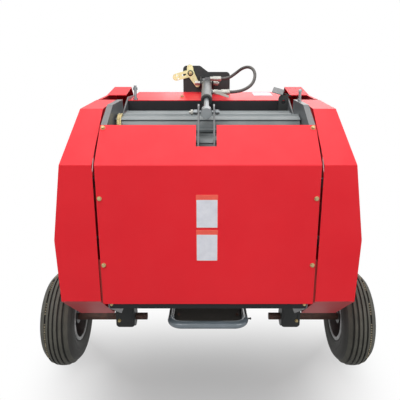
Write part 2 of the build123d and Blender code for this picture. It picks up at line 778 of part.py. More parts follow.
# Stub axles in clamp brackets that hang from the frame: two cheeks, a rear plate with rounded lower
# corners, the sleeve that the axle is clamped in, and a stay up to the front cover
bracket_outer_x = frame_outer_x + bracket_w
with BuildPart() as axle_bracket:
    with BuildSketch(Plane.YZ.offset(frame_outer_x)):
        with BuildLine():
            Polyline(*yz([(axle_from_rear - 35, 470), (axle_from_rear + 110, 470), (axle_from_rear + 45, 250),
                          (axle_from_rear - 45, 250)]), close=True)
        make_face()
        with Locations((axle_y, tyre_r)):
            Circle(45)
    extrude(amount=cheek_t)
    with BuildSketch(Plane.YZ.offset(bracket_outer_x - cheek_t)):
        with BuildLine():
            Polyline(*yz([(axle_from_rear - 45, bracket_top_z), (axle_from_rear + 45, bracket_top_z),
                          (axle_from_rear + 45, tyre_r), (axle_from_rear - 45, tyre_r)]), close=True)
        make_face()
        with Locations((axle_y, tyre_r)):
            Circle(45)
    extrude(amount=cheek_t)
    with BuildSketch(Plane.XZ.offset(45 - axle_y)) as rear_plate:
        with Locations(((frame_outer_x + bracket_outer_x) / 2, (bracket_top_z + tyre_r - 34) / 2)):
            Rectangle(bracket_w, bracket_top_z - tyre_r + 34)
        fillet(rear_plate.vertices().sort_by(Axis.Y)[:2], 16)
    extrude(amount=-cheek_t)
    with BuildSketch(Plane.XY.offset(bracket_top_z - cheek_t)):
        with Locations(((frame_outer_x + bracket_outer_x) / 2, axle_y)):
            Rectangle(bracket_w, 90)
    extrude(amount=cheek_t)
    with BuildSketch(Plane.YZ.offset(frame_outer_x)):
        with Locations((axle_y, tyre_r)):
            Circle(axle_r + 9)
    extrude(amount=bracket_w)
    with BuildSketch(Plane.XZ.offset(25 - axle_y)):
        with BuildLine():
            Polyline((bracket_outer_x, 250), (bracket_outer_x, 310), (bracket_outer_x + 26, 420),
                     (bracket_outer_x + 50, 420), close=True)
        make_face()
    extrude(amount=-6)
    with BuildSketch(Plane.YZ.offset(frame_outer_x)):
        with Locations((axle_y, tyre_r)):
            Circle(axle_r)
    extrude(amount=bracket_w, mode=Mode.SUBTRACT)
export_pair(axle_bracket.part, "axle_bracket")

with BuildPart() as axle:
    with BuildSketch(Plane.YZ.offset(axle_inner_x)):
        with Locations((axle_y, tyre_r)):
            Circle(axle_r)
    extrude(amount=wheel_x + 55 - axle_inner_x)
export_pair(axle.part, "stub_axle")

# Wheels: tyre on a pressed rim with its hub
bulge_r = rim_r + bulge_share * (tyre_r - rim_r)
with BuildPart() as tyre:
    with BuildSketch(Plane.XY):
        with BuildLine():
            Polyline((wheel_x - tyre_w / 2, rim_r), (wheel_x - tyre_w / 2, bulge_r),
                     (wheel_x - tread_half_w, tyre_r), (wheel_x + tread_half_w, tyre_r),
                     (wheel_x + tyre_w / 2, bulge_r), (wheel_x + tyre_w / 2, rim_r), close=True)
        make_face()
    revolve(axis=Axis.X)
export_pair(tyre.part.moved(Location((0, axle_y, tyre_r))), "tyre")

with BuildPart() as rim:
    with BuildSketch(Plane.XY):
        with BuildLine():
            Polyline((wheel_x - 60, rim_r), (wheel_x + 60, rim_r), (wheel_x + 14, rim_r - 14),
                     (wheel_x + 8, hub_r), (wheel_x + 48, hub_r),
                     (wheel_x + 48, axle_r + fit_gap), (wheel_x - 50, axle_r + fit_gap), (wheel_x - 50, hub_r),
                     (wheel_x - 2, hub_r), (wheel_x + 2, rim_r - 14), close=True)
        make_face()
    revolve(axis=Axis.X)
export_pair(rim.part.moved(Location((0, axle_y, tyre_r))), "wheel_rim")

# Bale ramp under the tailgate: bent pipe with a sheet between its legs, on a foot plate
with BuildPart() as ramp:
    ramp_half = ramp_w / 2 - ramp_pipe_r
    ramp_front_y = low_beam_y + low_beam_h / 2
    with BuildLine():
        FilletPolyline(
            (-ramp_half, y_at(ramp_front_y), ramp_front_z), (-ramp_half, y_at(ramp_rear_y), ramp_rear_z),
            (ramp_half, y_at(ramp_rear_y), ramp_rear_z), (ramp_half, y_at(ramp_front_y), ramp_front_z),
            radius=ramp_bend_r)
    with BuildSketch(Plane(origin=(-ramp_half, y_at(ramp_front_y), ramp_front_z),
                           z_dir=(0, ramp_rear_y - ramp_front_y, ramp_rear_z - ramp_front_z))):
        Circle(ramp_pipe_r)
    sweep()
    with BuildSketch(Plane.YZ.offset(-ramp_half)):
        with BuildLine():
            Polyline(*yz([(ramp_rear_y, ramp_rear_z - 2), (ramp_rear_y, ramp_rear_z + 2),
                          (ramp_front_y, ramp_front_z + 2), (ramp_front_y, ramp_front_z - 2)]), close=True)
        make_face()
    extrude(amount=2 * ramp_half)
    with Locations((0, y_at(low_beam_y), (low_beam_z - low_beam_h / 2 + ramp_front_z) / 2)):
        Box(ramp_w - 2, low_beam_h, low_beam_z - low_beam_h / 2 - ramp_front_z)
export_piece(ramp.part, "bale_ramp")

# Hitch beam with the lower link arms and pins
with BuildPart() as hitch_beam:
    with Locations((0, y_at(hitch_y), hitch_z)):
        Box(2 * hitch_half_w, hitch_h, hitch_h)
        Box(2 * hitch_half_w, hitch_h - 10, hitch_h - 10, mode=Mode.SUBTRACT)
    for side in (-1, 1):
        with BuildSketch(Plane.YZ.offset(side * (hitch_half_w - 10) - 10)):
            with Locations((y_at(hitch_y), hitch_z), (y_at(hitch_y + 40), hitch_z + 5),
                           (y_at(hitch_y + 40), hitch_z - 30)):
                Circle(35)
            with Locations((y_at(link_pin_y), link_pin_z)):
                Circle(30)
            make_hull()
        extrude(amount=20)
        with BuildSketch(Plane.YZ.offset(side * hitch_half_w)):
            with Locations((y_at(link_pin_y), link_pin_z)):
                Circle(link_pin_r)
        extrude(amount=side * link_pin_l)
    # sleeves of the parking legs
    for side in (-1, 1):
        with BuildSketch(Plane.XY.offset(hitch_z - 70)):
            with Locations((side * leg_x, y_at(leg_y))):
                Rectangle(sleeve_w, sleeve_w)
                Rectangle(leg_w + 2 * leg_play, leg_w + 2 * leg_play, mode=Mode.SUBTRACT)
        extrude(amount=170)
export_piece(hitch_beam.part, "hitch_beam")

for name, side in (("left", -1), ("right", 1)):
    with BuildPart() as leg:
        with BuildSketch(Plane.XY.offset(8)):
            with Locations((side * leg_x, y_at(leg_y))):
                Rectangle(leg_w, leg_w)
                Rectangle(leg_w - 8, leg_w - 8, mode=Mode.SUBTRACT)
        extrude(amount=leg_top_z - 8)
        with BuildSketch(Plane.XY):
            with Locations((side * leg_x, y_at(leg_y))):
                RectangleRounded(120, 100, 15)
        extrude(amount=8)
    export_piece(leg.part, "parking_leg_" + name)

# Gearbox, input shaft with its shield, and the cross shaft to the drive side
with BuildPart() as gearbox:
    with Locations((0, y_at(gearbox_y), gearbox_z)):
        Box(150, 160, 170)
    fillet(gearbox.edges().filter_by(Axis.Z), 26)
    fillet(gearbox.faces().sort_by(Axis.Z)[-1].edges(), 8)
    # bolted cover on top and bearing caps on both sides
    with BuildSketch(Plane.XY.offset(gearbox_z + 85)):
        with Locations((0, y_at(gearbox_y))):
            RectangleRounded(110, 120, 18)
    extrude(amount=8)
    with BuildSketch(Plane.YZ.offset(-75 - bearing_cap_t)):
        with Locations((y_at(cross_shaft_y), gearbox_z)):
            Circle(42)
    extrude(amount=150 + 2 * bearing_cap_t)
    with Locations((0, y_at(gearbox_y), (gearbox_z - 85 + hitch_z + hitch_h / 2) / 2)):
        Box(130, 70, gearbox_z - 85 - hitch_z - hitch_h / 2)
    with BuildSketch(Plane.XZ.offset(-y_at(gearbox_y + 100))):
        with Locations((0, gearbox_z)):
            Circle(45)
            Circle(input_seat_r + fit_gap, mode=Mode.SUBTRACT)
    extrude(amount=20)
    with BuildSketch(Plane.XZ.offset(-y_at(gearbox_y + 100))):
        with Locations((0, gearbox_z)):
            Circle(input_seat_r + fit_gap)
    extrude(amount=80, mode=Mode.SUBTRACT)
export_piece(gearbox.part, "gearbox")

with BuildPart() as input_shaft:
    with BuildSketch(Plane.XZ.offset(-y_at(gearbox_y + 30))):
        with Locations((0, gearbox_z)):
            Circle(input_seat_r)
    extrude(amount=-(stub_start_y - gearbox_y - 30))
    with BuildSketch(Plane.XZ.offset(-y_at(stub_start_y))):
        with Locations((0, gearbox_z)):
            Circle(input_r)
    extrude(amount=-(input_end_y - stub_start_y))
export_piece(input_shaft.part, "input_shaft")

with BuildPart() as pto_shield:
    with BuildSketch(Plane.XZ.offset(-y_at(gearbox_y + 80))):
        with Locations((0, gearbox_z)):
            Circle(95)
            Circle(91, mode=Mode.SUBTRACT)
        with Locations((0, gearbox_z - 100)):
            Rectangle(300, 140, mode=Mode.SUBTRACT)
    extrude(amount=-130)
    with BuildSketch(Plane.XZ.offset(-y_at(gearbox_y + 80))):
        with Locations((0, gearbox_z)):
            Circle(95)
            Circle(46, mode=Mode.SUBTRACT)
        with Locations((0, gearbox_z - 100)):
            Rectangle(300, 140, mode=Mode.SUBTRACT)
    extrude(amount=-4)
export_piece(pto_shield.part, "input_shaft_shield")

with BuildPart() as cross_shaft:
    with BuildSketch(Plane.YZ.offset(-frame_inner_x)):
        with Locations((y_at(cross_shaft_y), gearbox_z)):
            Circle(20)
    extrude(amount=frame_inner_x - 75 - bearing_cap_t)
export_piece(cross_shaft.part, "cross_shaft_tube")

# Pickup: side plates, tined reel, stripper bands
with BuildPart() as pickup_frame:
    for side in (-1, 1):
        plate_x = side * pickup_plate_x - 3
        with BuildSketch(Plane.YZ.offset(plate_x)):
            with BuildLine():
                Polyline(*yz([(700, 560), (940, 560), (980, 470), (980, 300), (930, 220), (800, 220),
                              (730, 300)]), close=True)
            make_face()
            with Locations((y_at(reel_y), reel_z)):
                Circle(reel_shaft_r + fit_gap, mode=Mode.SUBTRACT)
        extrude(amount=6)
    for side in (-1, 1):
        with Locations((side * (frame_outer_x + pickup_plate_x - 3) / 2, y_at(720), 545)):
            Box(pickup_plate_x - 3 - frame_outer_x, 30, 30)
        with Locations((side * (frame_outer_x + pickup_plate_x - 3) / 2, y_at(920), 545)):
            Box(pickup_plate_x - 3 - frame_outer_x, 30, 30)
export_piece(pickup_frame.part, "pickup_frame")

with BuildPart() as stripper:
    for i in range(band_count):
        x = (i - (band_count - 1) / 2) * band_pitch
        with BuildSketch(Plane.YZ.offset(x - band_w / 2)):
            with Locations((y_at(reel_y), reel_z)):
                Circle(band_r)
                Circle(band_r - 3, mode=Mode.SUBTRACT)
            with Locations((y_at(reel_y) - 100, reel_z)):
                Rectangle(200, 400, mode=Mode.SUBTRACT)
            with Locations((y_at(reel_y) - 65, reel_z + band_r - 1.5),
                           (y_at(reel_y) - 45, reel_z - band_r + 1.5)):
                Rectangle(130, 3)
        extrude(amount=band_w)
    for bar_y, bar_z in ((reel_y - 130, reel_z + band_r - 18), (reel_y - 90, reel_z - band_r + 18)):
        with Locations((0, y_at(bar_y), bar_z)):
            Box(2 * pickup_plate_x - 6, 30, 30)
export_piece(stripper.part, "stripper_bands")

tine_points = [
    (tine_bar_r - 8, -6), (tine_bar_r + 20, -6), (tine_tip_r, 14), (tine_tip_r, 20), (tine_bar_r + 18, 2),
    (tine_bar_r - 8, 2),
]
with BuildPart() as reel:
    with BuildSketch(Plane.YZ.offset(-pickup_plate_x - 13)):
        with Locations((y_at(reel_y), reel_z)):
            Circle(reel_shaft_r)
    extrude(amount=2 * pickup_plate_x + 26)
    for disc_x in (-pickup_plate_x + 12, -3, pickup_plate_x - 18):
        with BuildSketch(Plane.YZ.offset(disc_x)):
            with Locations((y_at(reel_y), reel_z)):
                Circle(tine_bar_r + 14)
        extrude(amount=6)
    with BuildSketch(Plane.YZ.offset(-pickup_plate_x + 12)):
        with Locations((y_at(reel_y), reel_z)):
            with PolarLocations(tine_bar_r, tine_bars):
                Circle(11)
    extrude(amount=2 * pickup_plate_x - 24)
    for i in range(band_count + 1):
        with BuildSketch(Plane.YZ.offset((i - band_count / 2) * band_pitch - tine_t / 2)):
            for k in range(tine_bars):
                turn = 2 * math.pi * k / tine_bars
                with BuildLine():
                    Polyline(*[
                        (y_at(reel_y) + r * math.cos(turn) - h * math.sin(turn),
                         reel_z + r * math.sin(turn) + h * math.cos(turn))
                        for r, h in tine_points
                    ], close=True)
                make_face()
        extrude(amount=tine_t)
export_piece(reel.part, "pickup_reel")

# Twine box with its lid, hinged on two sets of barrels
twine_hinge_y = twine_y + twine_l / 2 + 6
twine_hinge_z = twine_z + twine_h / 2 + 2
knuckle_x_out = chamber_width / 2 - 100
knuckle_r = 5.0
with BuildPart() as twine_box:
    with Locations((0, y_at(twine_y), twine_z)):
        Box(chamber_width, twine_l, twine_h)
    with Locations((0, y_at(twine_y), twine_z + 3)):
        Box(chamber_width - 6, twine_l - 6, twine_h, mode=Mode.SUBTRACT)
    # hinge barrels on both sides of the lid's own
    for knuckle_x in (-knuckle_x_out, knuckle_x_out):
        for side in (-1, 1):
            with BuildSketch(Plane.YZ.offset(knuckle_x + side * 31 - 10)):
                with Locations((y_at(twine_hinge_y), twine_hinge_z)):
                    Circle(knuckle_r)
                with Locations((y_at(twine_y + twine_l / 2 + 2), twine_z + twine_h / 2 - 9)):
                    Rectangle(4, 18)
            extrude(amount=20)
export_piece(twine_box.part, "twine_box")

with BuildPart() as twine_lid:
    with Locations((0, y_at(twine_y - 3), twine_z + twine_h / 2 + 1.8)):
        Box(chamber_width, twine_l + 6, 3)
    with Locations((0, y_at(twine_y - twine_l / 2 - 4.5), twine_z + twine_h / 2 - 8)):
        Box(chamber_width, 3, 20)
    for knuckle_x in (-knuckle_x_out, knuckle_x_out):
        with BuildSketch(Plane.YZ.offset(knuckle_x - 20)):
            with Locations((y_at(twine_hinge_y), twine_hinge_z)):
                Circle(knuckle_r)
            with Locations((y_at(twine_y + twine_l / 2 + 1), twine_z + twine_h / 2 + 1.8)):
                Rectangle(6, 3)
        extrude(amount=40)
export_piece(twine_lid.part, "twine_box_lid")
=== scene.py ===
import bpy
import bmesh
import math
from mathutils import Matrix, Vector


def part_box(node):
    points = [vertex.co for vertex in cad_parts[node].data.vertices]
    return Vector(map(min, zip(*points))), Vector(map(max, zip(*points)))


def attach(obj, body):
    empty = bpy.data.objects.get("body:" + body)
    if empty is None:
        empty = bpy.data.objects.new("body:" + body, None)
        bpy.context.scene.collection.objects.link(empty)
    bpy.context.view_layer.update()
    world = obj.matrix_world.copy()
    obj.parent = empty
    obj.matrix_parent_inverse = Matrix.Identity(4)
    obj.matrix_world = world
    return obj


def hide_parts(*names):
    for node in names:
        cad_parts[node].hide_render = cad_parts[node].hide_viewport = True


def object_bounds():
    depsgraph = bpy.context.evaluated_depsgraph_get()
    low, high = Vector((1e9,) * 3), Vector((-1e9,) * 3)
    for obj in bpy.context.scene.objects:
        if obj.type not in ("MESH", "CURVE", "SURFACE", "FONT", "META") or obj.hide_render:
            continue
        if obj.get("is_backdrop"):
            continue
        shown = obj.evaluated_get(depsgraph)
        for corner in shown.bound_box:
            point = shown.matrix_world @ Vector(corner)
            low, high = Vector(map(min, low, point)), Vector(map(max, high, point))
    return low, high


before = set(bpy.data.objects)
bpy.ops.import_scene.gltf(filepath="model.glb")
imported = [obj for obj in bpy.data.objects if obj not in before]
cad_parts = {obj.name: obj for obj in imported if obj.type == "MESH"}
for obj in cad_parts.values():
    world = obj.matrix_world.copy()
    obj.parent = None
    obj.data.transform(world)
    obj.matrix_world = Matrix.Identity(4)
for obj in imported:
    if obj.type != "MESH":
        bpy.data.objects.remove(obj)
cad_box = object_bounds()

# Place where it stands: a pale paper floor that runs on into a white backdrop. The floor keeps the shadow
# under the machine and fades to white away from it.
scene = bpy.context.scene
scene.view_settings.view_transform = "Standard"


def empty_material(material_name):
    material = bpy.data.materials.new(material_name)
    material.use_nodes = True
    material.node_tree.nodes.clear()
    return material, material.node_tree.nodes, material.node_tree.links


def background_rays(nodes, links):
    """1 for every ray that shows the background: straight from the camera, mirrored or through glass."""
    rays = nodes.new("ShaderNodeLightPath")
    shown = rays.outputs["Is Camera Ray"]
    for kind in ("Is Glossy Ray", "Is Transmission Ray"):
        either = nodes.new("ShaderNodeMath")
        either.operation = "MAXIMUM"
        links.new(shown, either.inputs[0])
        links.new(rays.outputs[kind], either.inputs[1])
        shown = either.outputs[0]
    return shown


floor_side, floor_back, floor_front = 30, -20, 40
floor_mesh = bpy.data.meshes.new("studio_floor")
floor_mesh.from_pydata([(-floor_side, floor_back, 0), (floor_side, floor_back, 0),
                        (floor_side, floor_front, 0), (-floor_side, floor_front, 0)], [], [(0, 1, 2, 3)])
floor = bpy.data.objects.new("studio_floor", floor_mesh)
scene.collection.objects.link(floor)
floor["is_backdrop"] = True
floor_paper, nodes, links = empty_material("studio_floor")
out = nodes.new("ShaderNodeOutputMaterial")
paper = nodes.new("ShaderNodeBsdfPrincipled")
paper.inputs["Base Color"].default_value = (0.48, 0.48, 0.48, 1)
paper.inputs["Roughness"].default_value = 0.8
paper.inputs["Specular IOR Level"].default_value = 0.2
white = nodes.new("ShaderNodeEmission")
links.new(background_rays(nodes, links), white.inputs["Strength"])
where = nodes.new("ShaderNodeTexCoord")
forward = nodes.new("ShaderNodeSeparateXYZ")
links.new(where.outputs["Object"], forward.inputs[0])
shadow_across = 1.7
narrowed = nodes.new("ShaderNodeMapping")
narrowed.inputs["Scale"].default_value = (shadow_across, 1, 1)
links.new(where.outputs["Object"], narrowed.inputs[0])
away = nodes.new("ShaderNodeVectorMath")
away.operation = "LENGTH"
links.new(narrowed.outputs[0], away.inputs[0])
least_white = 0.18
fades = []
for distance, near, far in ((away.outputs["Value"], 0.6, 1.6), (forward.outputs["Y"], -0.45, 0.35)):
    fading = nodes.new("ShaderNodeMapRange")
    fading.interpolation_type = "SMOOTHSTEP"
    fading.inputs["From Min"].default_value = near
    fading.inputs["From Max"].default_value = far
    fading.inputs["To Min"].default_value = least_white
    fading.inputs["To Max"].default_value = 1.0
    links.new(distance, fading.inputs["Value"])
    fades.append(fading.outputs[0])
whiter = nodes.new("ShaderNodeMath")
whiter.operation = "MAXIMUM"
links.new(fades[0], whiter.inputs[0])
links.new(fades[1], whiter.inputs[1])
lift = nodes.new("ShaderNodeMixShader")
links.new(whiter.outputs[0], lift.inputs[0])
links.new(paper.outputs[0], lift.inputs[1])
links.new(white.outputs[0], lift.inputs[2])
links.new(lift.outputs[0], out.inputs[0])
floor_mesh.materials.append(floor_paper)

# Studio light: four large soft lamps over and around the machine, and a white room that is brighter above
# than below.
world = bpy.data.worlds.new("studio")
scene.world = world
world.use_nodes = True
nodes, links = world.node_tree.nodes, world.node_tree.links
sky = nodes["Background"]
sky.inputs["Color"].default_value = (1, 1, 1, 1)
direction = nodes.new("ShaderNodeTexCoord")
height = nodes.new("ShaderNodeSeparateXYZ")
links.new(direction.outputs["Generated"], height.inputs[0])
softbox = nodes.new("ShaderNodeMapRange")
softbox.inputs["From Min"].default_value = -0.1
softbox.inputs["From Max"].default_value = 0.9
softbox.inputs["To Min"].default_value = 0.20
softbox.inputs["To Max"].default_value = 0.85
links.new(height.outputs["Z"], softbox.inputs["Value"])
backdrop = nodes.new("ShaderNodeMix")
links.new(background_rays(nodes, links), backdrop.inputs[0])
links.new(softbox.outputs[0], backdrop.inputs[2])
backdrop.inputs[3].default_value = 1.0
links.new(backdrop.outputs[0], sky.inputs["Strength"])

lit_middle = Vector((0, -0.3, 0.7))
for name, place, size, power in (
    ("key", (-1.6, -3.4, 3.5), 3.0, 105),
    ("fill", (2.6, -3.0, 2.0), 2.5, 55),
    ("top", (0.0, -0.2, 4.5), 3.0, 65),
    ("front", (0.8, 4.4, 2.4), 3.0, 42),
):
    lamp = bpy.data.lights.new(name, "AREA")
    lamp.size = size
    lamp.energy = power
    lamp_object = bpy.data.objects.new(name, lamp)
    lamp_object.location = place
    lamp_object.visible_camera = False
    lamp_object.rotation_euler = (lit_middle - Vector(place)).to_track_quat("-Z", "Y").to_euler()
    scene.collection.objects.link(lamp_object)

# Camera: close behind the machine at eye height, looking down on it. Its lens and its shift to the side are
# written in pixels of a picture 400 pixels wide.
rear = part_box("tailgate_panel")[0][1]
view_width_px = 400
focal_px = 430
centreline_px = 208
eye_height = 1.327
eye_behind = 1.413
pitch_down = math.radians(14.74)
camera = bpy.data.cameras.new("camera")
camera.sensor_width = 36
camera.lens = focal_px / view_width_px * camera.sensor_width
camera.shift_x = -(centreline_px - view_width_px / 2) / view_width_px
camera_object = bpy.data.objects.new("camera", camera)
camera_object.location = (0, rear - eye_behind, eye_height)
camera_object.rotation_euler = (math.pi / 2 - pitch_down, 0, 0)
scene.collection.objects.link(camera_object)
scene.camera = camera_object


# Hydraulic hose of the tailgate cylinder: braided rubber with a black cover, screwed to the port
# on top of the barrel, looped out to the side and screwed to the lower port.
def surface(material_name, colour, shade, rough, patch=4.0, grain=180.0, grain_depth=0.06, metal=0.0,
            coat=0.0, gloss=0.5, dust_and_sheen=0.0, dust_and_sheen_colour=(0.34, 0.29, 0.23), edge=0.0012, stretch=(1, 1, 1)):
    """One finish: colour drifting between two tones, fine grain as bump, and a second colour on what faces
    up: settled dust, which on the red paint is a painted sheen.
    """
    material, nodes, links = empty_material(material_name)
    out = nodes.new("ShaderNodeOutputMaterial")
    skin = nodes.new("ShaderNodeBsdfPrincipled")
    skin.inputs["Metallic"].default_value = metal
    skin.inputs["Coat Weight"].default_value = coat
    skin.inputs["Specular IOR Level"].default_value = gloss
    skin.inputs["Coat Roughness"].default_value = 0.15
    links.new(skin.outputs[0], out.inputs[0])
    place = nodes.new("ShaderNodeTexCoord")
    mapping = nodes.new("ShaderNodeMapping")
    mapping.inputs["Scale"].default_value = stretch
    links.new(place.outputs["Object"], mapping.inputs[0])

    def noise(scale, detail):
        speckle = nodes.new("ShaderNodeTexNoise")
        speckle.inputs["Scale"].default_value = scale
        speckle.inputs["Detail"].default_value = detail
        links.new(mapping.outputs[0], speckle.inputs["Vector"])
        return speckle

    drift = noise(patch, 6)
    drift.inputs["Roughness"].default_value = 0.62
    tones = nodes.new("ShaderNodeValToRGB")
    tones.color_ramp.elements[0].position = 0.32
    tones.color_ramp.elements[0].color = (*shade, 1)
    tones.color_ramp.elements[1].position = 0.68
    tones.color_ramp.elements[1].color = (*colour, 1)
    links.new(drift.outputs["Fac"], tones.inputs[0])
    tint = tones.outputs[0]
    if dust_and_sheen:
        facing = nodes.new("ShaderNodeNewGeometry")
        upward = nodes.new("ShaderNodeSeparateXYZ")
        links.new(facing.outputs["Normal"], upward.inputs[0])
        lying = nodes.new("ShaderNodeMapRange")
        lying.inputs["From Min"].default_value = -0.5
        lying.inputs["From Max"].default_value = 1.0
        links.new(upward.outputs["Z"], lying.inputs["Value"])
        scattered = noise(patch * 5, 8)
        amount = nodes.new("ShaderNodeMath")
        amount.operation = "MULTIPLY"
        links.new(lying.outputs[0], amount.inputs[0])
        links.new(scattered.outputs["Fac"], amount.inputs[1])
        cover = nodes.new("ShaderNodeMath")
        cover.operation = "MULTIPLY"
        links.new(amount.outputs[0], cover.inputs[0])
        cover.inputs[1].default_value = dust_and_sheen
        laid = nodes.new("ShaderNodeMix")
        laid.data_type = "RGBA"
        links.new(cover.outputs[0], laid.inputs[0])
        links.new(tint, laid.inputs[6])
        laid.inputs[7].default_value = (*dust_and_sheen_colour, 1)
        tint = laid.outputs[2]
    links.new(tint, skin.inputs["Base Color"])
    sheen = nodes.new("ShaderNodeMapRange")
    sheen.inputs["To Min"].default_value = max(rough - 0.08, 0.03)
    sheen.inputs["To Max"].default_value = min(rough + 0.1, 1)
    links.new(drift.outputs["Fac"], sheen.inputs["Value"])
    links.new(sheen.outputs[0], skin.inputs["Roughness"])
    pits = noise(grain, 3)
    relief = nodes.new("ShaderNodeBump")
    relief.inputs["Strength"].default_value = grain_depth
    relief.inputs["Distance"].default_value = 0.002
    links.new(pits.outputs["Fac"], relief.inputs["Height"])
    if edge:
        worn_edge = nodes.new("ShaderNodeBevel")
        worn_edge.samples = 4
        worn_edge.inputs["Radius"].default_value = edge
        links.new(worn_edge.outputs[0], relief.inputs["Normal"])
    links.new(relief.outputs[0], skin.inputs["Normal"])
    return material


def bent_round(name, route, radius, steps, roundness, material):
    """Round stock bent along its control points, with closed ends."""
    curve = bpy.data.curves.new(name, "CURVE")
    curve.dimensions = "3D"
    line = curve.splines.new("NURBS")
    line.points.add(len(route) - 1)
    for point, place in zip(line.points, route):
        point.co = (*place, 1)
    line.order_u = 3
    line.use_endpoint_u = True
    line.resolution_u = steps
    curve.bevel_depth = radius
    curve.bevel_resolution = roundness
    curve.use_fill_caps = True
    curve.materials.append(material)
    piece = bpy.data.objects.new(name, curve)
    scene.collection.objects.link(piece)
    return piece


hose_rubber = surface("hose_rubber", (0.050, 0.051, 0.053), (0.028, 0.029, 0.030), 0.5, patch=30, grain=900,
                      grain_depth=0.25, dust_and_sheen=0.35, edge=0)
hose_route = [
    (0.062, 0.035, 1.365), (0.096, 0.035, 1.365), (0.130, 0.028, 1.388), (0.162, 0.012, 1.413),
    (0.192, -0.010, 1.419), (0.214, -0.038, 1.402), (0.216, -0.072, 1.368), (0.196, -0.106, 1.332),
    (0.140, -0.140, 1.3048), (0.096, -0.140, 1.3048),
]
hose_diameter = 0.014
hose = bent_round("cylinder_hose", hose_route, hose_diameter / 2, 12, 6, hose_rubber)
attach(hose, "cylinder_barrel")
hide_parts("hose")

# Port fittings of the hose: zinc plated steel nuts, crimped sleeves and a ball valve with a flat lever
# on the lower port. The sleeves are pressed on in rings.
def give(material, *node_names):
    for node_name in node_names:
        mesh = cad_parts[node_name].data
        mesh.materials.clear()
        mesh.materials.append(material)


def plain_mesh(name, form, material):
    """The finished form as a mesh with its faces outwards."""
    bmesh.ops.recalc_face_normals(form, faces=form.faces)
    mesh = bpy.data.meshes.new(name)
    form.to_mesh(mesh)
    form.free()
    mesh.materials.append(material)
    return mesh


def fitted(name, mesh, body):
    """The mesh as a piece of the machine that rides its body."""
    piece = bpy.data.objects.new(name, mesh)
    scene.collection.objects.link(piece)
    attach(piece, body)
    return piece


def turned(name, section, place, steps, material, body, sharp=40):
    """A closed section of (along, radius) pairs turned about the X axis, then set in its place."""
    form = bmesh.new()
    rings = []
    for k in range(steps):
        a = 2 * math.pi * k / steps
        rings.append([form.verts.new((x, r * math.cos(a), r * math.sin(a))) for x, r in section])
    for k in range(steps):
        here, beside = rings[k], rings[(k + 1) % steps]
        for i in range(len(section)):
            j = (i + 1) % len(section)
            form.faces.new((here[i], here[j], beside[j], beside[i]))
    bmesh.ops.transform(form, matrix=place, verts=form.verts)
    bmesh.ops.remove_doubles(form, verts=form.verts, dist=0.00001)
    bmesh.ops.delete(form, geom=[edge for edge in form.edges if not edge.link_faces], context="EDGES")
    mesh = plain_mesh(name, form, material)
    mesh.shade_smooth()
    mesh.set_sharp_from_angle(angle=math.radians(sharp))
    return fitted(name, mesh, body)


white_zinc = surface("white_zinc", (0.50, 0.49, 0.45), (0.34, 0.34, 0.31), 0.34, patch=26, grain=420,
                     grain_depth=0.1, metal=0.6, dust_and_sheen=0.15)
give(white_zinc, "hose_fittings")
sleeve_l, crimps = 0.038, 5
valley_r, crest_r = 0.0111, 0.0119
mouth_out_r, mouth_in_r = 0.0082, 0.0074
ring_l = sleeve_l / crimps
sleeve = [(0.0005, 0.0095)]
for k in range(crimps):
    sleeve += [(ring_l * k + 0.0008, valley_r), (ring_l * k + 0.0022, crest_r),
               (ring_l * (k + 1) - 0.0018, crest_r), (ring_l * (k + 1) - 0.0006, valley_r)]
sleeve += [(sleeve_l + 0.002, mouth_out_r), (sleeve_l + 0.002, mouth_in_r), (sleeve_l - 0.001, mouth_in_r)]
for name, port in (("upper", (0.024, 0.035, 1.365)), ("lower", (0.058, -0.140, 1.3048))):
    turned("crimped_sleeve_" + name, sleeve, Matrix.Translation(port), 32, white_zinc, "cylinder_barrel")

# Red sheet parts: tailgate panel, side covers, sheet over the front half and twine box, bent from steel
# sheet and powder coated.
# The pale pink laid on the red faces that look up is a painted sheen, not dust.
red_paint = surface("red_powder_coat", (0.75, 0.020, 0.030), (0.70, 0.016, 0.026), 0.40, patch=2.2, grain=420,
                    grain_depth=0.035, gloss=0.17, coat=0.03, dust_and_sheen=0.08, dust_and_sheen_colour=(0.75, 0.30, 0.30))
give(red_paint, "tailgate_panel", "top_sheet", "rear_side_cover_left", "rear_side_cover_right",
     "front_side_cover_left", "front_side_cover_right")

# Hex bolts with washers, yellow zinc plated: the panel is bolted to the flanges of the side plates along
# both edges. Others, and nuts on studs, hold the bottom beam, the sheet over the front half and the clamp
# brackets of the axles.
zinc = surface("yellow_zinc", (0.56, 0.45, 0.20), (0.38, 0.31, 0.16), 0.38, patch=60, grain=420,
               grain_depth=0.1, metal=0.55, dust_and_sheen=0.2, dust_and_sheen_colour=(0.30, 0.20, 0.13))


def open_tree(name, sizes):
    """A node tree for points or edges that takes its sizes by name, with the finish and the turn."""
    tree = bpy.data.node_groups.new(name, "GeometryNodeTree")
    tree.interface.new_socket("Geometry", in_out="INPUT", socket_type="NodeSocketGeometry")
    for size_name, value in sizes.items():
        entry = tree.interface.new_socket(size_name, in_out="INPUT", socket_type="NodeSocketFloat")
        entry.default_value = value
    tree.interface.new_socket("Turn", in_out="INPUT", socket_type="NodeSocketVector")
    tree.interface.new_socket("Finish", in_out="INPUT", socket_type="NodeSocketMaterial")
    tree.interface.new_socket("Geometry", in_out="OUTPUT", socket_type="NodeSocketGeometry")
    return tree, tree.nodes, tree.links, tree.nodes.new("NodeGroupInput")


